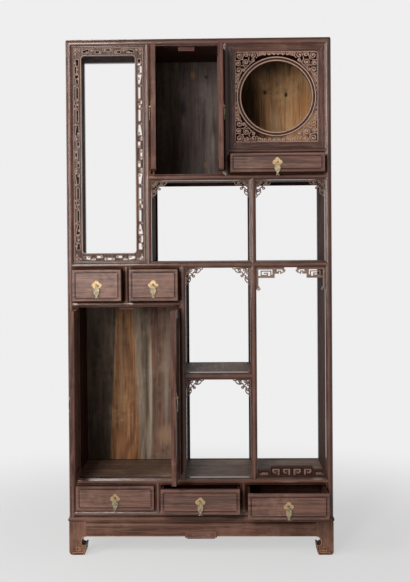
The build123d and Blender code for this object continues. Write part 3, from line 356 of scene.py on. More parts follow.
def wood_set(kind, crest=None):
    """The three grain directions of one finish, made once; carving's crest is its highest face."""
    key = (kind, crest)
    if key not in finishes:
        c = colours()
        wood, worn_and_highlight, foot = tuple(c.wood), tuple(c.worn_and_highlight), tuple(c.foot)
        # Each kind's wood and its worn tone, which is also its painted highlight on a crest, then
        # its wear, roughness and shine.
        woods = {
            "frame": (wood, worn_and_highlight, 0.36, 0.15, 0.31),
            "carving": (wood, (0.50, 0.315, 0.245), 0.1, 0.36, 0.2),
            "fret": (toned(wood, 0.6), (0.52, 0.35, 0.28), 0.15, 0.30, 0.14),
            "bracket": (toned(wood, 0.8), (0.36, 0.235, 0.180), 0.25, 0.36, 0.3),
            "stand": (mixed(wood, 0.82, foot, 0.18), worn_and_highlight, 0.5, 0.36, 0.25),
            "leg": (mixed(wood, 0.7, foot, 0.3), worn_and_highlight, 0.7, 0.4, 0.25),
            # paler still on the bead and scrolls: partly worn wood, partly a painted highlight on
            # the raised strands
            "foot": (toned(foot, 1.7), toned(foot, 2.4), 0.7, 0.45, 0.3),
            # painted shade: the case's inner boards and the drawer boxes take the hardwood darkened
            # to 0.6
            "panel": (toned(wood, 0.6), toned(worn_and_highlight, 0.5), 0.45, 0.7, 0.12),
            "shelf": ((0.230, 0.135, 0.092), (0.52, 0.37, 0.28), 0.6, 0.56, 0.22),
            "door": (wood, worn_and_highlight, 0.5, 0.38, 0.25),
            "drawer": (tuple(c.front), toned(worn_and_highlight, 1.3), 0.5, 0.30, 0.36),
            "inlay": (toned(wood, 0.4), wood, 0.3, 0.6, 0.2),
            "rose": ((0.12, 0.036, 0.027), (0.24, 0.12, 0.10), 0.4, 0.5, 0.2),
            # painted shade: the deep tone, laid on the gallery's sunk ground
            "ground": (tuple(c.deep), wood, 0.2, 0.6, 0.15),
            "key": (toned(worn_and_highlight, 0.8), toned(worn_and_highlight, 1.4), 0.6),
            "umber": (*PLANK_WOODS["umber"], 0.55, 0.6, 0.2),
        }
        more = dict(CARVED_WOODS.get(kind, {}), crest=crest)
        # The frame gets a painted highlight on its crowns and painted shade down their flanks, as
        # well as its rubbed places.
        if kind == "frame":
            more = dict(crest=FRONT, groove=True, spots=FRAME_WEAR)
        tag = kind if crest is None else f"{kind}_{round(abs(crest) * 10000)}"
        finishes[key] = {
            letter: hardwood(f"{tag}_wood_{letter.lower()}", letter, *woods[kind], **more)
            for letter in "XYZ"
        }
    return finishes[key]


def carving(node, sunk=0.0, kind="carving"):
    """A carved finish with a painted highlight on the crest of this node's carving and painted
    shade in its depth.
    """
    return wood_set(kind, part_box(node)[0].y + sunk)["X"]


# ---------------------------------------------------------------- modelling helpers
def clear_selection():
    if bpy.context.object and bpy.context.object.mode != "OBJECT":
        bpy.ops.object.mode_set(mode="OBJECT")
    bpy.ops.object.select_all(action="DESELECT")


def take(*objects):
    """Selects these objects and nothing else; the first is the active one."""
    clear_selection()
    for obj in objects:
        obj.select_set(True)
    bpy.context.view_layer.objects.active = objects[0]
    return objects[0]


def discard(*objects):
    take(*objects)
    bpy.ops.object.delete()


def edit(obj, action="SELECT"):
    """Goes into edit mode with all of an object selected, or none of it."""
    take(obj)
    bpy.ops.object.mode_set(mode="EDIT")
    bpy.ops.mesh.select_all(action=action)


def leave_edit():
    bpy.ops.object.mode_set(mode="OBJECT")


def settle(obj, **pose):
    """Gives an object its place, turn or size and puts that into its mesh."""
    for key, value in pose.items():
        setattr(obj, key, value)
    take(obj)
    bpy.ops.object.transform_apply(location=True, rotation=True, scale=True)
    return obj


def apply_modifier(obj, kind, **settings):
    take(obj)
    modifier = obj.modifiers.new(kind.title(), kind)
    for key, value in settings.items():
        setattr(modifier, key, value)
    bpy.ops.object.modifier_apply(modifier=modifier.name)


def join(objects):
    take(*objects)
    if len(objects) > 1:
        bpy.ops.object.join()
    return bpy.context.object


def paint(obj, finish):
    obj.data.materials.clear()
    obj.data.materials.append(finish)


def seat(obj, name, finish=None, replaced=(), body="case"):
    """Puts a finished piece's place in its mesh and lets it ride on its body."""
    settle(obj).name = name
    if finish:
        paint(obj, finish)
    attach(obj, body)
    if replaced:
        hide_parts(*replaced)
    return obj


def smooth(obj, angle=32):
    """Smooth shading that leaves broad faces flat."""
    take(obj)
    bpy.ops.object.shade_smooth_by_angle(angle=radians(angle))
    apply_modifier(obj, "WEIGHTED_NORMAL", keep_sharp=True)
    return obj


def bevel(obj, width, angle):
    settings = dict(width=width, segments=2, limit_method="ANGLE", angle_limit=radians(angle))
    apply_modifier(obj, "BEVEL", **settings)
    return smooth(obj)


def ease(obj, width):
    """Rounds the arrises as years of handling do."""
    return bevel(obj, width, 28)


def grain_of(obj):
    """The axis that a bar or board is longest along."""
    return "XYZ"[max(range(3), key=lambda i: obj.dimensions[i])]


def parts_of(node):
    """The bars and boards of a CAD node as separate clean meshes."""
    source = frame["nodes"][node]
    obj = bpy.data.objects.new(node + "_worked", source.data.copy())
    bpy.context.scene.collection.objects.link(obj)
    edit(obj)
    bpy.ops.mesh.remove_doubles(threshold=0.00002)
    bpy.ops.mesh.dissolve_limited(angle_limit=radians(0.5))
    bpy.ops.mesh.separate(type="LOOSE")
    leave_edit()
    return list(bpy.context.selected_objects)


def worked(node, kind, body="case", width=None):
    """A copy of a CAD node with its arrises worn and its grain along each bar."""
    pieces = parts_of(node)
    for piece in pieces:
        ease(piece, width or sizes().arris)
        paint(piece, wood_set(kind)[grain_of(piece)])
    return seat(join(pieces), node + "_worked", replaced=(node,), body=body)


def extent(*objects):
    """Lowest and highest corner of meshes that stand at the origin."""
    places = [v.co for obj in objects for v in obj.data.vertices]
    return [[pick(v[i] for v in places) for i in range(3)] for pick in (min, max)]


def move(obj, x=0.0, y=0.0, z=0.0):
    take(obj)
    bpy.ops.transform.translate(value=(x, y, z))
    return obj


def copy_of(obj, flip_x=False, flip_z=False):
    """A copy with its own mesh, mirrored if asked, with its faces kept outwards."""
    take(obj)
    bpy.ops.object.duplicate()
    twin = bpy.context.object
    if flip_x or flip_z:
        settle(twin, scale=(-1 if flip_x else 1, 1, -1 if flip_z else 1))
        edit(twin)
        if flip_x != flip_z:
            bpy.ops.mesh.flip_normals()
        bpy.ops.mesh.normals_make_consistent(inside=False)
        leave_edit()
    return twin


def choose(obj, kind, test):
    """Goes into edit mode with just the faces or edges that pass the test selected."""
    edit(obj, "DESELECT")
    bpy.ops.mesh.select_mode(type=kind)
    leave_edit()
    for part in obj.data.polygons if kind == "FACE" else obj.data.edges:
        part.select = test(part)
    bpy.ops.object.mode_set(mode="EDIT")


def block(centre, size):
    clear_selection()
    bpy.ops.mesh.primitive_cube_add(size=1, location=centre)
    return settle(bpy.context.object, scale=size)


def drawn(name, runs, closed, **settings):
    """Runs of points in x and z, and a thickness if they have one, drawn flat as one curve."""
    clear_selection()
    bpy.ops.curve.primitive_nurbs_path_add(location=(0, 0, 0))
    obj = bpy.context.object
    obj.data.splines.clear()
    for key, value in settings.items():
        setattr(obj.data, key, value)
    for run in runs:
        spline = obj.data.splines.new("POLY")
        spline.points.add(len(run) - 1)
        for point, (x, z, *thick) in zip(spline.points, run):
            point.co = (x, z, 0, 1)
            point.radius = thick[0] if thick else 1.0
        spline.use_cyclic_u = closed
    take(obj)
    bpy.ops.object.convert(target="MESH")
    bpy.context.object.name = name
    return bpy.context.object


def carved(name, runs, width, depth, closed=False):
    """Carved strands: each run is swept as a round, drawn out to the depth if that is more."""
    shape = dict(dimensions="3D", twist_mode="Z_UP", use_fill_caps=True, bevel_resolution=2)
    shape.update(bevel_depth=width / 2, extrude=max(depth - width, 0) / 2)
    return smooth(settle(drawn(name, runs, closed, **shape), rotation_euler=UPENDED), 50)


def cast(name, outlines, thick, edge):
    """A flat piece with softened edges, its back on the XZ plane, its inner outlines open."""
    shape = dict(dimensions="2D", fill_mode="BOTH", offset=-edge, bevel_depth=edge)
    shape.update(bevel_resolution=2, extrude=thick / 2 - edge)
    obj = drawn(name, outlines, True, **shape)
    return smooth(settle(obj, rotation_euler=UPENDED, location=(0, -thick / 2, 0)), 40)


def fretted(name, rows, cell_w, cell_h, depth, wood="#"):
    """Openwork cut from a board on a square grid: the marks in wood stay, the rest is open."""
    clear_selection()
    columns = len(rows[0])
    bpy.ops.mesh.primitive_grid_add(x_subdivisions=columns, y_subdivisions=len(rows), size=1)
    obj = bpy.context.object
    obj.name = name
    width, height = columns * cell_w, len(rows) * cell_h
    settle(obj, scale=(width, height, 1), location=(width / 2, -height / 2, 0))

    def is_open(face):
        row = rows[int(-face.center.y / cell_h)]
        return row[int(face.center.x / cell_w)] not in wood

    choose(obj, "FACE", is_open)
    bpy.ops.mesh.delete(type="FACE")
    bpy.ops.mesh.select_all(action="SELECT")
    bpy.ops.mesh.extrude_region_move(TRANSFORM_OT_translate={"value": (0, 0, -depth)})
    bpy.ops.mesh.select_all(action="SELECT")
    bpy.ops.mesh.normals_make_consistent(inside=False)
    # The bevel follows the order of the mesh, which differs from run to run until it is sorted.
    bpy.ops.mesh.sort_elements(type="CURSOR_DISTANCE", elements={"VERT", "EDGE", "FACE"})
    leave_edit()
    return bevel(settle(obj, rotation_euler=UPENDED), 0.0007, 40)


def turned(name, profile, steps=144):
    """A ring about the Y axis whose closed profile is points of radius and depth."""
    clear_selection()
    r0, y0 = profile[0]
    bpy.ops.mesh.primitive_circle_add(vertices=steps, radius=r0, location=(0, 0, -y0))
    obj = settle(bpy.context.object)
    obj.name = name
    edit(obj)
    for r, y in [*profile[1:], profile[0]]:
        bpy.ops.mesh.extrude_region_move(TRANSFORM_OT_translate={"value": (0, 0, y0 - y)})
        bpy.ops.transform.resize(value=(r / r0, r / r0, 1))
        r0, y0 = r, y
    bpy.ops.mesh.select_all(action="SELECT")
    bpy.ops.mesh.remove_doubles(threshold=0.00001)
    bpy.ops.mesh.normals_make_consistent(inside=False)
    leave_edit()
    return smooth(settle(obj, rotation_euler=UPENDED), 40)


def rod(x0, x1, y, radius, sides=24):
    """A round bar along X."""
    clear_selection()
    settings = dict(vertices=sides, radius=radius, depth=x1 - x0, location=((x0 + x1) / 2, y, 0))
    bpy.ops.mesh.primitive_cylinder_add(rotation=(0, pi / 2, 0), **settings)
    return ease(settle(bpy.context.object), radius * 0.15)


def cut(obj, tool):
    """Cuts one mesh out of another and throws the tool away."""
    settings = dict(operation="DIFFERENCE", solver="EXACT", material_mode="TRANSFER", object=tool)
    apply_modifier(obj, "BOOLEAN", **settings)
    discard(tool)
    take(obj)


# ---------------------------------------------------------------- lines to carve along
def curl(x, z, radius, start, turns, steps=11, shrink=0.72):
    """A spiral that winds inward about a point, thickening into its eye."""
    run = []
    for i in range(steps + 1):
        t = i / steps
        angle = radians(start) + tau * turns * t
        r = radius * (1 - shrink * t)
        run.append((x + r * cos(angle), z + r * sin(angle), 0.85 + 0.45 * t))
    return run


def rounded(x0, x1, z0, z1, radius, steps=5, inset=0.0):
    """The outline of a rectangle with rounded corners, as points."""
    x0, x1, z0, z1 = x0 + inset, x1 - inset, z0 + inset, z1 - inset
    run = []
    for cx, cz, start in (
        (x1 - radius, z1 - radius, 0),
        (x0 + radius, z1 - radius, 90),
        (x0 + radius, z0 + radius, 180),
        (x1 - radius, z0 + radius, 270),
    ):
        for i in range(steps + 1):
            angle = radians(start + 90 * i / steps)
            run.append((cx + radius * cos(angle), cz + radius * sin(angle)))
    return run


def oval(x, z, wide, high, steps):
    """Points around an oval, the first not said again at the end."""
    angles = [tau * i / steps for i in range(steps)]
    return [(x + wide * cos(a), z + high * sin(a)) for a in angles]


def soft(points, radius, steps=4):
    """A closed outline with its corners rounded off."""
    run = []
    for i, corner in enumerate(points):
        ends = []
        for other in (points[i - 1], points[(i + 1) % len(points)]):
            share = min(radius / hypot(other[0] - corner[0], other[1] - corner[1]), 0.45)
            ends.append([c + (o - c) * share for c, o in zip(corner, other)])
        for j in range(steps + 1):
            t = j / steps
            bend = ((1 - t) ** 2, 2 * t * (1 - t), t * t)
            spots = zip(ends[0], corner, ends[1])
            run.append(tuple(bend[0] * a + bend[1] * c + bend[2] * b for a, c, b in spots))
    return run


def wound(outline, way):
    """The outline run anticlockwise for way 1 and clockwise for -1."""
    area = sum(a[0] * b[1] - b[0] * a[1] for a, b in zip(outline, outline[1:] + outline[:1]))
    return outline if area * way > 0 else outline[::-1]


def twinned(runs, way):
    """Each run and its mirror across the diagonal, unless it is its own mirror."""
    both = []
    for run in runs:
        twin = tuple((way * z, way * x) for x, z in run)
        both += [run] if twin in (run, run[::-1]) else [run, twin]
    return both


# ---------------------------------------------------------------- case
NODES_OF = {
    "frame": (
        "post_front_left", "post_front_right", "post_rear_left", "post_rear_right",
        "top_frame", "front_uprights", "front_rails", "side_rails", "moon_panel_frame",
    ),
    "stand": ("stand_aprons_rear_and_sides", "stand_top_frame"),
    # these boards take a darker copy of the hardwood, painted shade for the inside of the case
    "panel": ("rear_frame", "top_panel", "side_panels", "partitions"),
    "rose": ("drawer_guides_and_door_stops",),
    "shelf": ("shelf_boards",),
}


class CABINET_OT_case(bpy.types.Operator):
    """Works the posts, rails, boards and stand: worn arrises and grain along each piece"""

    bl_idname = "cabinet.case"
    bl_label = "Case"

    def execute(self, context):
        for kind, nodes in NODES_OF.items():
            for node in nodes:
                worked(node, kind)
        return {"FINISHED"}


# A leg's carving, in from its outer side and up from the floor: the bead, and the scroll's line.
FOOT_LINE = (
    (0.0640, 0.0745), (0.0580, 0.0735), (0.0520, 0.0700), (0.0475, 0.0645), (0.0455, 0.0570),
    (0.0455, 0.0450), (0.0490, 0.0390), (0.0560, 0.0375), (0.0610, 0.0400), (0.0618, 0.0360),
    (0.0590, 0.0150), (0.0540, 0.0045),
)
FOOT_KEY = (
    (0.0115, 0.0050), (0.0150, 0.0085), (0.0150, 0.0125), (0.0520, 0.0125), (0.0520, 0.0320),
    (0.0265, 0.0320), (0.0265, 0.0190), (0.0445, 0.0190), (0.0445, 0.0255), (0.0345, 0.0255),
)
# The sunk field that the scroll stands in: from the leg's outer side, and up.
FOOT_FIELD = (0.0165, 0.0510, 0.0140, 0.0310)
# The apron's two rolled edges, head and foot: width and facets.
APRON_ROLL = ((0.016, 7), (0.004, 3))


def runs_along(board, edge, y, z):
    """Whether an edge of a mesh runs along X at this place."""
    ends = [board.data.vertices[i].co for i in edge.vertices]
    return all(abs(v.y - y) < 1e-5 and abs(v.z - z) < 1e-5 for v in ends)


def rolled_apron():
    """The front apron: its face rolls back under the stand's frame and eases at its foot."""
    low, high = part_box("stand_apron_front")
    board = block((low + high) / 2, high - low)
    for edge_z, (width, steps) in zip((high.z, low.z), APRON_ROLL):
        choose(board, "EDGE", lambda edge: runs_along(board, edge, low.y, edge_z))
        bpy.ops.mesh.bevel(offset=width, segments=steps, profile=0.5)
        leave_edit()
    finish = wood_set("stand")["X"]
    seat(smooth(board), "apron_rolled", finish, ("stand_apron_front",))


class CABINET_OT_feet(bpy.types.Operator):
    """Carves the scrolled feet, the rolled apron with its bead and the plaque"""

    bl_idname = "cabinet.feet"
    bl_label = "Feet and plaque"

    def execute(self, context):
        for leg in LEGS:
            worked(leg, "leg", width=0.0016)
        worked("apron_plaque", "stand")
        rolled_apron()

        x0, x1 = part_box("leg_front_left")[0].x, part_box("leg_front_right")[1].x
        line = [(x0 + u, z) for u, z in FOOT_LINE[::-1]] + [(x1 - u, z) for u, z in FOOT_LINE]
        keys = [[(x0 + u, z) for u, z in FOOT_KEY], [(x1 - u, z) for u, z in FOOT_KEY]]
        # Strands with their width and depth, and how far proud of the frame their middle stands.
        for name, runs, width, depth, proud in (
            ("apron_bead", [line], 0.0026, 0.0044, 0.0010),
            ("foot_scrolls", keys, 0.0036, 0.0040, 0.0002),
        ):
            strands = move(carved(name, runs, width, depth), y=FRONT - proud)
            # the palest foot wood: partly worn, partly a painted highlight on the raised strands
            seat(strands, name, wood_set("foot")["X"])

        u0, u1, z0, z1 = FOOT_FIELD
        for side, x in (("left", x0 + u0), ("right", x1 - u1)):
            field = rounded(x, x + u1 - u0, z0, z1, 0.002)
            ground = move(cast("foot_ground", [field], 0.0016, 0.0003), y=FRONT + 0.0010)
            seat(ground, f"foot_ground_{side}", wood_set("stand")["X"])

        low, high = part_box("apron_plaque")
        cx, cz, half = (low.x + high.x) / 2, (low.z + high.z) / 2, (high.x - low.x) * 0.28
        rim = rounded(low.x, high.x, low.z, high.z, 0.003, inset=0.005)
        lens = oval(cx, cz, half, 0.0042, 24)
        plaque = move(carved("plaque_lines", [rim, lens], 0.0022, 0.0022, True), y=low.y)
        seat(plaque, "plaque_lines", wood_set("key")["X"])
        return {"FINISHED"}


# ---------------------------------------------------------------- display fret
# Openings of the fret, outward from the middle of a bar: where one starts, and its near and
# far side there from the bar's outer edge, then the same where it ends.
FRET_MIDDLE = (-0.018, 0.0075, 0.0165, 0.018, 0.0075, 0.0165)
FRET_SHARED = (
    (0.026, 0.0160, 0.0245, 0.047, 0.0140, 0.0250),
    (0.053, 0.0075, 0.0150, 0.068, 0.0075, 0.0120),
)
FRET_LEVEL = ((0.074, 0.0075, 0.0235, 0.096, 0.0130, 0.0225),)
FRET_UPRIGHT = (
    (0.073, 0.0075, 0.0245, 0.111, 0.0135, 0.0225),
    (0.126, 0.0130, 0.0225, 0.168, 0.0130, 0.0225),
    (0.175, 0.0140, 0.0210, 0.185, 0.0115, 0.0210),
    (0.190, 0.0075, 0.0150, 0.202, 0.0075, 0.0130),
    (0.211, 0.0130, 0.0225, 0.252, 0.0130, 0.0225),
    (0.265, 0.0150, 0.0220, 0.300, 0.0075, 0.0245),
    (0.307, 0.0075, 0.0150, 0.331, 0.0075, 0.0170),
    (0.336, 0.0130, 0.0245, 0.358, 0.0100, 0.0245),
)
# Curls that hang in the openings: along, across, radius, start, turns.
FRET_CURLS = (
    (0.011, 0.0120, 0.0042, 0, 1.2),
    (0.031, 0.0215, 0.0038, 90, 1.1),
    (0.060, 0.0140, 0.0040, 90, 1.2),
    (0.080, 0.0205, 0.0044, 120, 1.2),
    (0.114, 0.0100, 0.0036, 200, 1.2),
    (0.173, 0.0090, 0.0040, 0, 1.2),
    (0.189, 0.0200, 0.0042, 90, 1.3),
    (0.205, 0.0190, 0.0038, 180, -1.2),
    (0.259, 0.0110, 0.0038, 0, -1.2),
    (0.286, 0.0200, 0.0046, 90, 1.3),
    (0.304, 0.0180, 0.0040, 200, -1.2),
    (0.322, 0.0185, 0.0046, 120, 1.3),
    (0.346, 0.0105, 0.0044, 270, -1.2),
)
# The opening in each corner of the fret, in from the corner, and the curls about it.
FRET_CORNER = (
    (0.0075, 0.0075), (0.0220, 0.0075), (0.0220, 0.0140), (0.0140, 0.0220), (0.0075, 0.0220),
)
FRET_CORNER_CURLS = ((0.0130, 0.0130, 0), (0.0270, 0.0120, 90), (0.0120, 0.0270, 0))
FRET_REACH = 0.034  # from the frame to the clear opening
FRET_GAP = 0.0004  # between the fret and the frame around it
FRET_SUNK = 0.0028  # from the carving's face back to the board's
FRET_MORE = 0.0014  # what each opening gains at both ends


class CABINET_OT_fret(bpy.types.Operator):
    """Carves the pierced frame of the tall display bay"""

    bl_idname = "cabinet.fret"
    bl_label = "Display fret"

    def execute(self, context):
        s = sizes()
        low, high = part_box("display_fret_frame")
        x0, x1, z0, z1 = low.x + FRET_GAP, high.x - FRET_GAP, low.z + FRET_GAP, high.z - FRET_GAP
        mid_x, mid_z = (x0 + x1) / 2, (z0 + z1) / 2
        # Each bar's way to turn a place along and across it into x and z.
        bars = {
            "left": lambda u, v: (x0 + v, mid_z + u),
            "right": lambda u, v: (x1 - v, mid_z + u),
            "foot": lambda u, v: (mid_x + u, z0 + v),
            "head": lambda u, v: (mid_x + u, z1 - v),
        }
        holes, curls = [], []
        for bar, onto in bars.items():
            upright = bar in ("left", "right")
            half = (z1 - z0 if upright else x1 - x0) / 2 - FRET_REACH
            openings = [FRET_MIDDLE]
            for opening in FRET_SHARED + (FRET_UPRIGHT if upright else FRET_LEVEL):
                start, near_a, near_b, end, far_a, far_b = opening
                openings += [opening, (-start, near_a, near_b, -end, far_a, far_b)]
            for start, near_a, near_b, end, far_a, far_b in openings:
                more = FRET_MORE if end > start else -FRET_MORE
                start, end = start - more, end + more
                corners = ((start, near_a), (start, near_b), (end, far_b), (end, far_a))
                holes.append(soft([onto(u, v) for u, v in corners], 0.0035))
            for u, v, r, start, turns in FRET_CURLS:
                if u + r < half:
                    run = curl(u, v, r, start, turns, 12)
                    for way in (-1, 1):
                        curls.append([(*onto(way * p[0], p[1]), p[2]) for p in run])
        for sx, cx in ((1, x0), (-1, x1)):
            for sz, cz in ((1, z0), (-1, z1)):
                holes.append(soft([(cx + sx * u, cz + sz * v) for u, v in FRET_CORNER], 0.0030))
                for u, v, start in FRET_CORNER_CURLS:
                    curls.append(curl(cx + sx * u, cz + sz * v, 0.0042, start, sx * sz * 1.2, 12))

        bay = (x0 + FRET_REACH, x1 - FRET_REACH, z0 + FRET_REACH, z1 - FRET_REACH)
        outer, inner = rounded(x0, x1, z0, z1, 0.0008, 1), rounded(*bay, 0.011)
        outlines = [wound(outer, 1), wound(inner, -1), *(wound(hole, -1) for hole in holes)]
        edge = s.fret_bead / 2
        bead = rounded(*bay, 0.013, inset=-edge)
        lip = rounded(x0, x1, z0, z1, 0.002, inset=s.fret_border / 2)
        board = cast("fret_board", outlines, high.y - low.y - FRET_SUNK, 0.0006)
        parts = [move(board, y=high.y)]
        # Strands with their width and depth, and how far back from the face their middle stands.
        for name, runs, width, depth, closed, back in (
            ("bead", [bead], s.fret_bead, s.fret_bead, True, edge),
            ("lip", [lip], 0.0030, 0.0040, True, 0.0020),
            ("edges", holes, 0.0030, 0.0044, True, 0.0022),
            ("curls", curls, s.strand * 0.76, 0.0060, False, 0.0030),
        ):
            parts.append(move(carved(name, runs, width, depth, closed), y=low.y + back))
        finish = wood_set("fret", low.y)["Z"]
        seat(join(parts), "display_fret", finish, ("display_fret_frame",))
        return {"FINISHED"}


# ---------------------------------------------------------------- moon window
# The ring's width, its middle bead's place from the hole, and how far back its ground lies.
RING_W, RING_MIDDLE, RING_GROUND = 0.0175, 0.0088, 0.0030
# A bead's half width and height, and how far in from the ring's edges the outer two stand.
BEAD_HALF, BEAD_HIGH, BEAD_IN = 0.0028, 0.0022, 0.0030
# Cloud curls of one corner of the moon window: in from the corner, radius, start, turns.
CLOUDS = (
    (0.0165, 0.0155, 0.0140, 225, 1.5),
    (0.0450, 0.0120, 0.0110, 20, -1.45),
    (0.0120, 0.0450, 0.0110, 250, 1.45),
    (0.0420, 0.0400, 0.0135, 60, 1.5),
    (0.0690, 0.0150, 0.0130, 160, 1.4),
    (0.0150, 0.0700, 0.0130, 110, -1.4),
    (0.0700, 0.0330, 0.0070, 300, -1.3),
    (0.0330, 0.0700, 0.0070, 150, 1.3),
    (0.0930, 0.0110, 0.0100, 30, -1.4),
    (0.0110, 0.0930, 0.0100, 260, 1.4),
    (0.1120, 0.0090, 0.0090, 160, 1.3),
    (0.0090, 0.1120, 0.0090, 100, -1.3),
    (0.1300, 0.0085, 0.0085, 20, -1.3),
    (0.0085, 0.1300, 0.0085, 260, 1.3),
    (0.1475, 0.0080, 0.0080, 160, 1.3),
    (0.0080, 0.1475, 0.0080, 100, -1.3),
)
# Short tails that tie the clouds to one another, to the frame and to the ring.
STEMS = (
    (
        (0.000, 0.0300), (0.007, 0.0345), (0.016, 0.0330), (0.025, 0.0300),
        (0.030, 0.0250), (0.0330, 0.0160), (0.0345, 0.0070), (0.0300, 0.0000),
    ),
    ((0.054, 0.0210), (0.052, 0.0290), (0.056, 0.0370), (0.063, 0.0400), (0.0690, 0.0400)),
    ((0.028, 0.0280), (0.032, 0.0290), (0.0290, 0.0320), (0.028, 0.0280)),
    ((0.052, 0.0520), (0.056, 0.0500), (0.0580, 0.0440), (0.064, 0.0440)),
    ((0.080, 0.0250), (0.086, 0.0190), (0.0850, 0.0080), (0.080, 0.0020)),
    ((0.102, 0.0160), (0.104, 0.0090), (0.1020, 0.0020)),
)


class CABINET_OT_moon(bpy.types.Operator):
    """Turns the moon window's beaded ring and carves the clouds around it"""

    bl_idname = "cabinet.moon"
    bl_label = "Moon window"

    def execute(self, context):
        low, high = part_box("moon_ring")
        cx, cz = (low.x + high.x) / 2, (low.z + high.z) / 2
        outer = (high.x - low.x) / 2
        hole = outer - RING_W
        thick = high.y - low.y
        profile = [(hole, thick), (hole, RING_GROUND)]
        for middle, crest in (
            (hole + BEAD_IN, 0.0), (hole + RING_MIDDLE, RING_GROUND), (outer - BEAD_IN, 0.0),
        ):
            for i in range(7):
                angle = pi * (1 - i / 6)
                rise = crest + BEAD_HIGH - BEAD_HIGH * sin(angle)
                profile.append((middle + BEAD_HALF * cos(angle), rise))
        profile += [(outer, RING_GROUND), (outer, thick)]
        window = move(turned("moon_ring_beaded", profile), cx, low.y, cz)
        finish = carving("moon_ring")
        seat(window, "moon_ring_beaded", finish, ("moon_ring",))

        low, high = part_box("moon_carving")
        depth, mid_y = high.y - low.y, (low.y + high.y) / 2
        runs = [curl(*cloud, 14, 0.78) for cloud in CLOUDS] + twinned(STEMS, 1)
        quarter = [carved("clouds", runs, sizes().strand * 1.1, depth * 0.76)]
        for x, z, r, *_ in CLOUDS:
            eye = r * 0.26
            place = dict(radius=eye, location=(x, 0, z))
            clear_selection()
            bpy.ops.mesh.primitive_uv_sphere_add(segments=12, ring_count=8, **place)
            quarter.append(smooth(settle(context.object, scale=(1, depth * 0.42 / eye, 1)), 60))
        quarter = join(quarter)
        corners = [
            move(copy_of(quarter, flip_x, flip_z), x, mid_y, z)
            for z, flip_z in ((high.z, True), (low.z, False))
            for x, flip_x in ((low.x, False), (high.x, True))
        ]
        discard(quarter)
        rim = rounded(low.x, high.x, low.z, high.z, 0.004, inset=0.0015)
        corners.append(move(carved("rim", [rim], 0.003, depth, True), y=mid_y))
        finish = carving("moon_carving", 0.10 * depth)
        seat(join(corners), "moon_clouds", finish, ("moon_carving",))
        return {"FINISHED"}


# ---------------------------------------------------------------- brackets and gallery
# A scroll bracket in the corner at the origin: along the rail in x, down the upright in -z.
BRACKET_RUNS = (
    ((0.001, -0.001), (0.030, -0.0022), (0.052, -0.003), (0.062, -0.0055), (0.0655, -0.001)),
    ((0.058, -0.004), (0.054, -0.013), (0.046, -0.0185), (0.037, -0.0185), (0.030, -0.0150)),
    ((0.030, -0.015), (0.0275, -0.0225), (0.0225, -0.0275), (0.0150, -0.030)),
    ((0.002, -0.002), (0.010, -0.010), (0.0225, -0.0225), (0.029, -0.029)),
)
BRACKET_CURLS = (
    (0.0195, -0.0085, 0.0070, 180, -1.3),
    (0.0085, -0.0195, 0.0070, 90, 1.3),
    (0.0400, -0.0105, 0.0068, 20, 1.35),
    (0.0105, -0.0400, 0.0068, 250, -1.35),
    (0.0305, -0.0305, 0.0055, 135, 1.1),
)
# Where the brackets hang, and whether each reaches right or left.
BRACKET_PLACES = (
    (DISPLAY_X1, SHELF_Z0, 1), (RIGHT_X0, SHELF_Z0, -1),
    (RIGHT_X1, SHELF_Z0, 1), (RIGHT_IN, SHELF_Z0, -1),
    (CUPBOARD_X1, WAIST_Z0, 1), (RIGHT_X0, WAIST_Z0, -1),
    (CUPBOARD_X1, NICHE_Z0, 1), (RIGHT_X0, NICHE_Z0, -1),
)

# Key fret: # is wood. Columns run from the upright along the rail, rows down from it.
KEY_ROWS = (
    "##########################.",
    "##########################.",
    "##.............####.....###",
    "##..##########.####.###..##",
    "##..#........#.######.#.##.",
    "##..#..####..#.######.##...",
    "##..#.....#..#.##..........",
    "##..#######..####..........",
    "#################..........",
    "#################..........",
    *("##.........................",) * 8,
    "###........................",
    "###........................",
    "#.##.......................",
    ".##........................",
)
# The gallery rail, from its middle to one end: # is rail, o the paler keys within it, - the ground,
# painted dark as shade.
GALLERY_ROWS = (
    "####################.............",
    "####################.............",
    "#---------#---------#............",
    "#-ooooooo-#-ooooooo-##########.##",
    "#-oo---oo-#-oo---oo-#############",
    "#-oo-o-oo-#-oo-o-oo-##---------##",
    "#-oo-ooo--#-oo-ooo--##-oooooo-###",
    "#-oo------#-oo------###oooooooo##",
    "#################################",
    "#################################",
)
KEY_WIDE, KEY_HIGH = 0.110, 0.087
GALLERY_DEEP = 0.004  # thickness of the gallery's rail and keys, in front of its ground


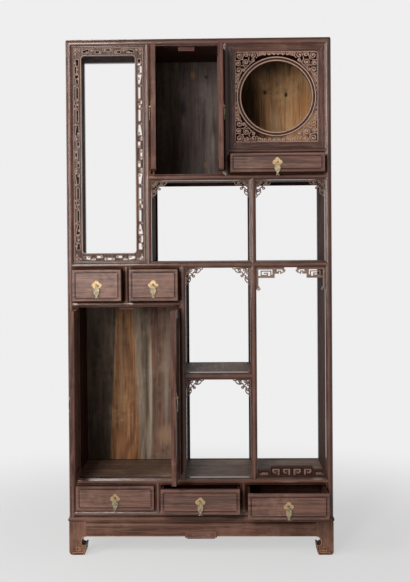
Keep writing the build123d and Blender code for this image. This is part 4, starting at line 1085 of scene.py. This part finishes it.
class CABINET_OT_brackets(bpy.types.Operator):
    """Carves the corner brackets and the gallery rail"""

    bl_idname = "cabinet.brackets"
    bl_label = "Brackets and gallery"

    def execute(self, context):
        low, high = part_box("scroll_spandrels")
        depth, mid_y = high.y - low.y, (low.y + high.y) / 2
        runs = twinned(BRACKET_RUNS, -1) + [curl(*line, 13, 0.75) for line in BRACKET_CURLS]
        bracket = carved("bracket", runs, sizes().strand * 0.95, depth * 0.9)
        pieces = []
        for x, z, way in BRACKET_PLACES:
            pieces.append(move(copy_of(bracket, flip_x=way < 0), x, mid_y, z))
        discard(bracket)
        finish = carving("scroll_spandrels", 0.05 * depth, "bracket")
        seat(join(pieces), "scroll_brackets", finish, ("scroll_spandrels",))

        low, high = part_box("key_fret_spandrels")
        cell_w, cell_h = KEY_WIDE / len(KEY_ROWS[0]), KEY_HIGH / len(KEY_ROWS)
        key = fretted("key_fret", KEY_ROWS, cell_w, cell_h, high.y - low.y)
        pair = [move(copy_of(key), RIGHT_X1, low.y, WAIST_Z0)]
        pair.append(move(copy_of(key, flip_x=True), RIGHT_IN, low.y, WAIST_Z0))
        discard(key)
        finish = carving("key_fret_spandrels", 0.0, "bracket")
        seat(join(pair), "key_frets", finish, ("key_fret_spandrels",))

        low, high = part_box("gallery_rail")
        rows = tuple(row[:0:-1] + row for row in GALLERY_ROWS)
        cell_w, cell_h = (high.x - low.x) / len(rows[0]), (high.z - low.z) / len(rows)
        behind = high.y - low.y - GALLERY_DEEP
        # Each layer's marks, how far back its face stands, and its thickness.
        for name, marks, back, thick, finish in (
            ("gallery", "#", 0.0008, GALLERY_DEEP, carving("gallery_rail", -0.0024)),
            ("gallery_keys", "o", 0.0, GALLERY_DEEP, wood_set("key")["X"]),
            # the ground behind takes the deep tone as painted shade
            ("gallery_ground", "#o-", GALLERY_DEEP, behind, wood_set("ground")["X"]),
        ):
            layer = fretted(name, rows, cell_w, cell_h, thick, marks)
            move(layer, low.x, low.y + back, high.z)
            seat(layer, name, finish, ("gallery_rail",))
        return {"FINISHED"}


# ---------------------------------------------------------------- boards
# The planks behind each open box: their joints at head and foot, in from its left, and woods.
PLANKS = {
    "large": (
        (0.121, 0.191, 0.224, 0.261), (0.092, 0.216, 0.242, 0.261),
        ("umber", "amber", "ash", "tan", "russet"),
    ),
    "small": ((0.092, 0.181), (0.096, 0.178), ("umber", "smoke", "smoke")),
    "moon": ((0.103, 0.231), (0.098, 0.236), ("gold", "gold", "gold")),
}
# Knots, stains, painted shadow and a painted reflection: place from the box's lower left corner,
# size, colour and strength.
SPOTS = {
    "large": (
        ((0.322, 0.100), (0.055, 0.060), (0.56, 0.36, 0.21), 0.55),
        ((0.252, 0.080), (0.016, 0.120), (0.60, 0.48, 0.36), 0.55),
        ((0.262, 0.310), (0.009, 0.330), (0.62, 0.52, 0.40), 0.75),
        ((0.245, 0.300), (0.006, 0.260), (0.05, 0.03, 0.02), 0.6),
        ((0.325, 0.270), (0.012, 0.220), (0.40, 0.34, 0.28), 0.6),
        ((0.150, 0.420), (0.010, 0.120), (0.12, 0.06, 0.03), 0.5),
    ),
    "small": (
        ((0.203, 0.422), (0.009, 0.014), (0.010, 0.007, 0.006), 0.95),
        ((0.108, 0.296), (0.020, 0.060), (0.020, 0.014, 0.012), 0.8),
        ((0.150, 0.431), (0.014, 0.024), (0.30, 0.13, 0.05), 0.6),
        ((0.201, 0.062), (0.012, 0.020), (0.26, 0.12, 0.05), 0.5),
        # a painted reflection
        ((0.230, 0.144), (0.012, 0.070), (0.26, 0.21, 0.18), 0.6),
    ),
    "moon": (
        # painted shadow of the ring and frame, on the left and at the top
        ((0.025, 0.220), (0.125, 0.300), (0.030, 0.018, 0.011), 0.85),
        ((0.140, 0.410), (0.230, 0.110), (0.030, 0.018, 0.011), 0.80),
        ((0.235, 0.252), (0.009, 0.013), (0.030, 0.016, 0.008), 0.95),
        ((0.149, 0.262), (0.012, 0.015), (0.035, 0.018, 0.009), 0.9),
        ((0.190, 0.110), (0.030, 0.100), (0.60, 0.42, 0.24), 0.4),
        ((0.312, 0.230), (0.026, 0.110), (0.50, 0.20, 0.06), 0.6),
        ((0.200, 0.040), (0.016, 0.012), (0.03, 0.015, 0.008), 0.8),
        ((0.350, 0.060), (0.060, 0.070), (0.030, 0.016, 0.010), 0.85),
    ),
}


def plank(heads, feet, low, high):
    """A board whose sides lean: its left and right at the head and at the foot."""
    width = feet[1] - feet[0]
    centre = (sum(feet) / 2, (low[1] + high[1]) / 2, (low[2] + high[2]) / 2)
    board = block(centre, (width, high[1] - low[1], high[2] - low[2]))
    choose(board, "FACE", lambda face: face.normal.z > 0.9)
    bpy.ops.transform.resize(value=((heads[1] - heads[0]) / width, 1, 1))
    bpy.ops.transform.translate(value=((sum(heads) - sum(feet)) / 2, 0, 0))
    leave_edit()
    return ease(board, 0.0004)


def box_of(board):
    """Which open box a back board stands behind, or else hidden."""
    low, high = extent(board)
    x, z = (low[0] + high[0]) / 2, (low[2] + high[2]) / 2
    if z > SHELF_Z0 and DISPLAY_X1 < x < MOON_X0:
        return "small"
    if z > MOON_Z1 and x > MOON_X1:
        return "moon"
    if FLOOR_Z1 < z < SILL_Z0 and x < CUPBOARD_X0:
        return "large"
    return "hidden"


class CABINET_OT_boards(bpy.types.Operator):
    """Lays leaning planks behind the open boxes, each with its own wood, knots and stains, and some
    painted shadow and reflection
    """

    bl_idname = "cabinet.boards"
    bl_label = "Back boards"

    def execute(self, context):
        boxes = {"large": [], "small": [], "moon": [], "hidden": []}
        for board in parts_of("back_boards"):
            boxes[box_of(board)].append(board)
        if not all(boxes.values()):
            raise RuntimeError("a box has no back boards in the frame")
        hidden = boxes.pop("hidden")
        for name, boards in boxes.items():
            low, high = extent(*boards)
            discard(*boards)
            heads, feet, woods = PLANKS[name]
            heads = [low[0], *(low[0] + d for d in heads), high[0]]
            feet = [low[0], *(low[0] + d for d in feet), high[0]]
            spots = [((low[0] + x, low[2] + z), *more) for (x, z), *more in SPOTS[name]]
            for n, wood in enumerate(woods):
                board = plank(heads[n : n + 2], feet[n : n + 2], low, high)
                tones = [toned(tone, 1 - 0.12 * (n % 2)) for tone in PLANK_WOODS[wood]]
                looks = dict(worn=0.6, gloss=0.6, shine=0.2, stain=0.45, spots=spots)
                title = f"{name}_plank_{n + 1}"
                finish = hardwood(title, "Z", *tones, **looks)
                seat(board, title, finish, ("back_boards",))
        for board in hidden:
            ease(board, 0.0005)
            paint(board, wood_set("umber")[grain_of(board)])
        seat(join(hidden), "hidden_back_boards", replaced=("back_boards",))
        return {"FINISHED"}


# ---------------------------------------------------------------- drawers and doors
# A front's two incised lines: how far in, and how wide where the inlay is INLAY wide.
INLAY = 0.0022
DRAWER_LINES = ((0.0078, 0.0012), (0.0118, 0.0030))


class CABINET_OT_drawers(bpy.types.Operator):
    """Works the drawers: soft fronts with a double incised line"""

    bl_idname = "cabinet.drawers"
    bl_label = "Drawers"

    def execute(self, context):
        for node in DRAWERS:
            parts = parts_of(node)
            front = min(parts, key=lambda part: extent(part)[0][1])
            low, high = extent(front)
            for part in parts:
                if part is not front:
                    ease(part, sizes().arris * 0.7)
                    paint(part, wood_set("panel")[grain_of(part)])
            paint(ease(front, 0.0022), wood_set("drawer")["X"])
            for inset, width in DRAWER_LINES:
                edge = rounded(
                    low[0], high[0], low[2], high[2], 0.0085 - inset * 0.3, inset=inset
                )
                cutter = carved("line", [edge], width * sizes().inlay / INLAY, 0, True)
                cutter.data.materials.append(wood_set("inlay")["X"])
                cut(front, move(cutter, y=low[1]))
            smooth(front)
            seat(join(parts), node + "_box", replaced=(node,), body=node)
        return {"FINISHED"}


class CABINET_OT_doors(bpy.types.Operator):
    """Works the four doors: framed leaves with floating panels"""

    bl_idname = "cabinet.doors"
    bl_label = "Doors"

    def execute(self, context):
        for node in DOORS:
            worked(node, "door", body=node)
        return {"FINISHED"}


# ---------------------------------------------------------------- brass
def metal(name, colour, dark, rough):
    """Worn metal, tarnished in clouds and finely pitted."""
    f = Finish(name)
    cloud = f.noise(f.place, 160, 3, 0.6)
    pits = f.noise(f.place, 900, 2, 0.6)
    tone = f.blend(f.span(cloud, 0.45, 0.68), colour, dark)
    f.relief(f.math("ADD", f.times(cloud, 0.6), f.times(pits, 0.3)), 0.3, 0.0003)
    return f.finish(tone, f.span(cloud, 0.3, 0.7, rough, rough + 0.22), 0.85)


PIN_OUT = 0.005  # from the wood's face out to the pin that a fish hangs on
EAR_X, EAR_OUT, EAR = 0.00365, 0.0040, (0.0014, 0.0058, 0.0040)
PIN_HALF, PIN_RADIUS = 0.00435, 0.0012
# The disc of painted shade behind the pin: radius, thickness, and how far out it stands.
SEAT_RADIUS, SEAT_THICK, SEAT_OUT = 0.0048, 0.0004, 0.0016
BARREL_HALF, BARREL_RADIUS = 0.0026, 0.0027
# Half widths down the fish and how far below its pin, as shares of its length.
FISH = (
    (0.054, 0.0), (0.054, 0.07), (0.10, 0.13), (0.165, 0.19), (0.208, 0.28), (0.222, 0.38),
    (0.215, 0.48), (0.182, 0.58), (0.130, 0.68), (0.078, 0.76), (0.046, 0.815), (0.060, 0.86),
    (0.105, 0.93), (0.145, 1.0), (0.085, 0.975), (0.0, 0.91),
)
# Lines raised on the fish, as the same shares: gill, side line, two fins and tail.
FISH_LINES = (
    ((-0.13, -0.24), (0.0, -0.29), (0.13, -0.24)),
    ((0.0, -0.30), (0.012, -0.50), (0.0, -0.78)),
    ((-0.12, -0.40), (-0.06, -0.45), (-0.11, -0.52)),
    ((0.12, -0.40), (0.06, -0.45), (0.11, -0.52)),
    ((-0.09, -0.97), (0.0, -0.84), (0.09, -0.97)),
)


def pull_plate():
    """A plate of four pointed lobes with two ears and the pin between them."""
    tip = sizes().plate
    outline = []
    for i in range(72):
        angle = tau * i / 72
        reach = tip * (1 + 0.10 * abs(sin(4 * angle))) / (abs(cos(angle)) + abs(sin(angle)))
        outline.append((reach * cos(angle), reach * sin(angle)))
    parts = [cast("plate", [outline], 0.0015, 0.0004)]
    for x in (-EAR_X, EAR_X):
        parts.append(ease(block((x, -EAR_OUT, 0), EAR), 0.0005))
    return join([*parts, rod(-PIN_HALF, PIN_HALF, -PIN_OUT, PIN_RADIUS, 16)])


def pull_shade_disc():
    """A dark disc behind the pin: painted shade around it."""
    clear_selection()
    shape = dict(vertices=32, radius=SEAT_RADIUS, depth=SEAT_THICK)
    bpy.ops.mesh.primitive_cylinder_add(location=(0, -SEAT_OUT, 0), **shape)
    return ease(settle(bpy.context.object, rotation_euler=UPENDED), 0.00015)


def pull_fish():
    """A hanging fish: barrel, body with gill, fins and side line, and a forked tail."""
    length = sizes().fish
    side = [(w * length, -d * length) for w, d in FISH]
    outline = side + [(-x, z) for x, z in side[-2::-1]]
    body = move(cast("fish", [outline], 0.0020, 0.0005), y=-PIN_OUT + 0.0010)
    runs = [[(x * length, z * length) for x, z in line] for line in FISH_LINES]
    for way in (-1, 1):
        eye = oval(way * 0.05 * length, -0.19 * length, 0.02 * length, 0.02 * length, 8)
        runs.append([*eye, eye[0]])
    lines = move(carved("lines", runs, 0.0007, 0.0007), y=-PIN_OUT - 0.0010)
    barrel = rod(-BARREL_HALF, BARREL_HALF, -PIN_OUT, BARREL_RADIUS)
    return settle(join([body, lines, barrel]))


class CABINET_OT_brass(bpy.types.Operator):
    """Casts the plates, pins and hanging fish and hangs one set on each drawer and door"""

    bl_idname = "cabinet.brass"
    bl_label = "Brass"

    def execute(self, context):
        c = colours()
        bright = metal("brass", tuple(c.brass), (0.22, 0.14, 0.07), 0.38)
        aged = metal("aged_brass", tuple(c.patina), (0.16, 0.14, 0.10), 0.46)
        # the dark metal paints the shade around the pin
        dark = metal("painted_shade_brass", (0.05, 0.035, 0.022), (0.02, 0.015, 0.01), 0.6)
        # What a piece carries: the model, its CAD node, name and body, its metal and slot.
        fittings = (
            (pull_plate(), "_plate", "_plate_cast", "", bright, "brass"),
            (pull_shade_disc(), "_plate", "_plate_shade_disc", "", dark, "brass"),
            (pull_fish(), "_pull", "_pull_cast", "_pull", aged, "aged_brass"),
        )
        joints = {joint["name"]: joint for joint in frame["joints"]}
        for piece in (*DRAWERS, *DOORS):
            joint = joints[piece + "_pull_swing"]
            axis = Vector(joint["axis"])
            outward = Vector((-axis.y, axis.x, 0))
            turn = (0, 0, atan2(outward.y, outward.x) + pi / 2)
            place = Vector(joint["pos_m"]) - outward * PIN_OUT
            for model, node, name, body, finish, slot in fittings:
                part = settle(copy_of(model), rotation_euler=turn, location=place)
                seat(part, piece + name, finish, (piece + node,), piece + body)
        discard(*(fitting[0] for fitting in fittings))
        return {"FINISHED"}


# ---------------------------------------------------------------- stage
CAMERA_PLACE = (0.1027, FRONT - 3.6777, 1.1520)
CAMERA_YAW, CAMERA_PITCH, CAMERA_ROLL = 0.02232, -0.01275, -0.00715
CAMERA_LENS = dict(lens=60.44, sensor_width=36, shift_x=0.0007, shift_y=-0.0476)

BACKDROP = (0.86, 0.86, 0.86, 1)
FLOOR_GREY = (0.80, 0.80, 0.80, 1)
FLOOR_FADE = (0.6, 2.2, 0.62, 1.0)  # from and to how far out, and the backdrop's share there
ROOM_COLOUR, ROOM_STRENGTH = (0.97, 0.98, 1.0, 1), 0.13
# The lamps: name, place, aim, width and height, watts and colour.
LAMPS = (
    ("key", (-0.95, -3.6, 2.1), (0, 0, 1.0), (0.7, 2.2), 84, (1.0, 0.985, 0.96)),
    ("window", (-2.5, -2.2, 1.75), (-0.1, -0.1, 1.05), (0.8, 2.0), 62, (0.98, 0.99, 1.0)),
)


def floor_paint():
    """Pale paint that fades into the background away from the cabinet and keeps its shadow."""
    f = Finish("floor_paint")
    f.finish(FLOOR_GREY, 0.75)
    glow = f.add("ShaderNodeEmission", {"Color": BACKDROP})
    share = f.times(f.span(f.length(f.place), *FLOOR_FADE), f.seen())
    f.mix(share, f.shader.outputs[0], glow.outputs[0], "Material Output")
    return f.material


def area_light(name, place, aim, size, power, colour):
    clear_selection()
    bpy.ops.object.light_add(type="AREA", location=place)
    lamp = bpy.context.object
    lamp.name = name
    lamp.data.shape = "RECTANGLE"
    lamp.data.size, lamp.data.size_y = size
    lamp.data.energy = power
    lamp.data.color = colour
    way = Vector(aim) - Vector(place)
    lamp.rotation_euler = way.to_track_quat("-Z", "Y").to_euler()


class CABINET_OT_stage(bpy.types.Operator):
    """Sets the camera, floor, pale room and soft lights"""

    bl_idname = "cabinet.stage"
    bl_label = "Stage"

    def execute(self, context):
        scene = context.scene
        clear_selection()
        bpy.ops.object.camera_add(location=CAMERA_PLACE)
        camera = context.object
        turn = Matrix.Rotation(CAMERA_YAW, 3, "Z") @ Matrix.Rotation(pi / 2 + CAMERA_PITCH, 3, "X")
        camera.rotation_euler = (turn @ Matrix.Rotation(CAMERA_ROLL, 3, "Z")).to_euler()
        for key, value in CAMERA_LENS.items():
            setattr(camera.data, key, value)
        scene.camera = camera
        scene.view_settings.view_transform = "Standard"

        clear_selection()
        bpy.ops.mesh.primitive_plane_add(size=40, location=(0, 0, 0))
        floor = context.object
        floor.name = "floor"
        floor.data.materials.append(floor_paint())

        world = bpy.data.worlds.new("room")
        scene.world = world
        world.use_nodes = True
        air = Nodes(world.node_tree)
        room = air.tree.nodes["Background"]
        room.inputs["Color"].default_value = ROOM_COLOUR
        room.inputs["Strength"].default_value = ROOM_STRENGTH
        white = air.add("ShaderNodeBackground", {"Color": BACKDROP, "Strength": 1.0})
        air.mix(air.seen(), room.outputs[0], white.outputs[0], "World Output")
        for lamp in LAMPS:
            area_light(*lamp)
        return {"FINISHED"}


class VIEW3D_PT_cabinet(bpy.types.Panel):
    bl_label = "Display Cabinet"
    bl_idname = "VIEW3D_PT_cabinet"
    bl_space_type = "VIEW_3D"
    bl_region_type = "UI"
    bl_category = "Cabinet"

    def draw(self, context):
        layout = self.layout
        for group in (context.scene.cabinet_sizes, context.scene.cabinet_colours):
            box = layout.box()
            for key in group.__annotations__:
                box.prop(group, key)
        for operator in PIECES:
            layout.operator(operator.bl_idname)


PIECES = (
    CABINET_OT_stage,
    CABINET_OT_case,
    CABINET_OT_feet,
    CABINET_OT_fret,
    CABINET_OT_moon,
    CABINET_OT_brackets,
    CABINET_OT_boards,
    CABINET_OT_drawers,
    CABINET_OT_doors,
    CABINET_OT_brass,
)
CLASSES = (CabinetSizes, CabinetColours, *PIECES, VIEW3D_PT_cabinet)


def register():
    for cls in CLASSES:
        bpy.utils.register_class(cls)
    bpy.types.Scene.cabinet_sizes = PointerProperty(type=CabinetSizes)
    bpy.types.Scene.cabinet_colours = PointerProperty(type=CabinetColours)


def unregister():
    del bpy.types.Scene.cabinet_colours
    del bpy.types.Scene.cabinet_sizes
    for cls in reversed(CLASSES):
        bpy.utils.unregister_class(cls)


def main():
    register()
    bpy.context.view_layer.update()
    bpy.ops.cabinet.stage()
    bpy.ops.cabinet.case()
    bpy.ops.cabinet.feet()
    bpy.ops.cabinet.fret()
    bpy.ops.cabinet.moon()
    bpy.ops.cabinet.brackets()
    bpy.ops.cabinet.boards()
    bpy.ops.cabinet.drawers()
    bpy.ops.cabinet.doors()
    bpy.ops.cabinet.brass()


if __name__ == "__main__":
    main()
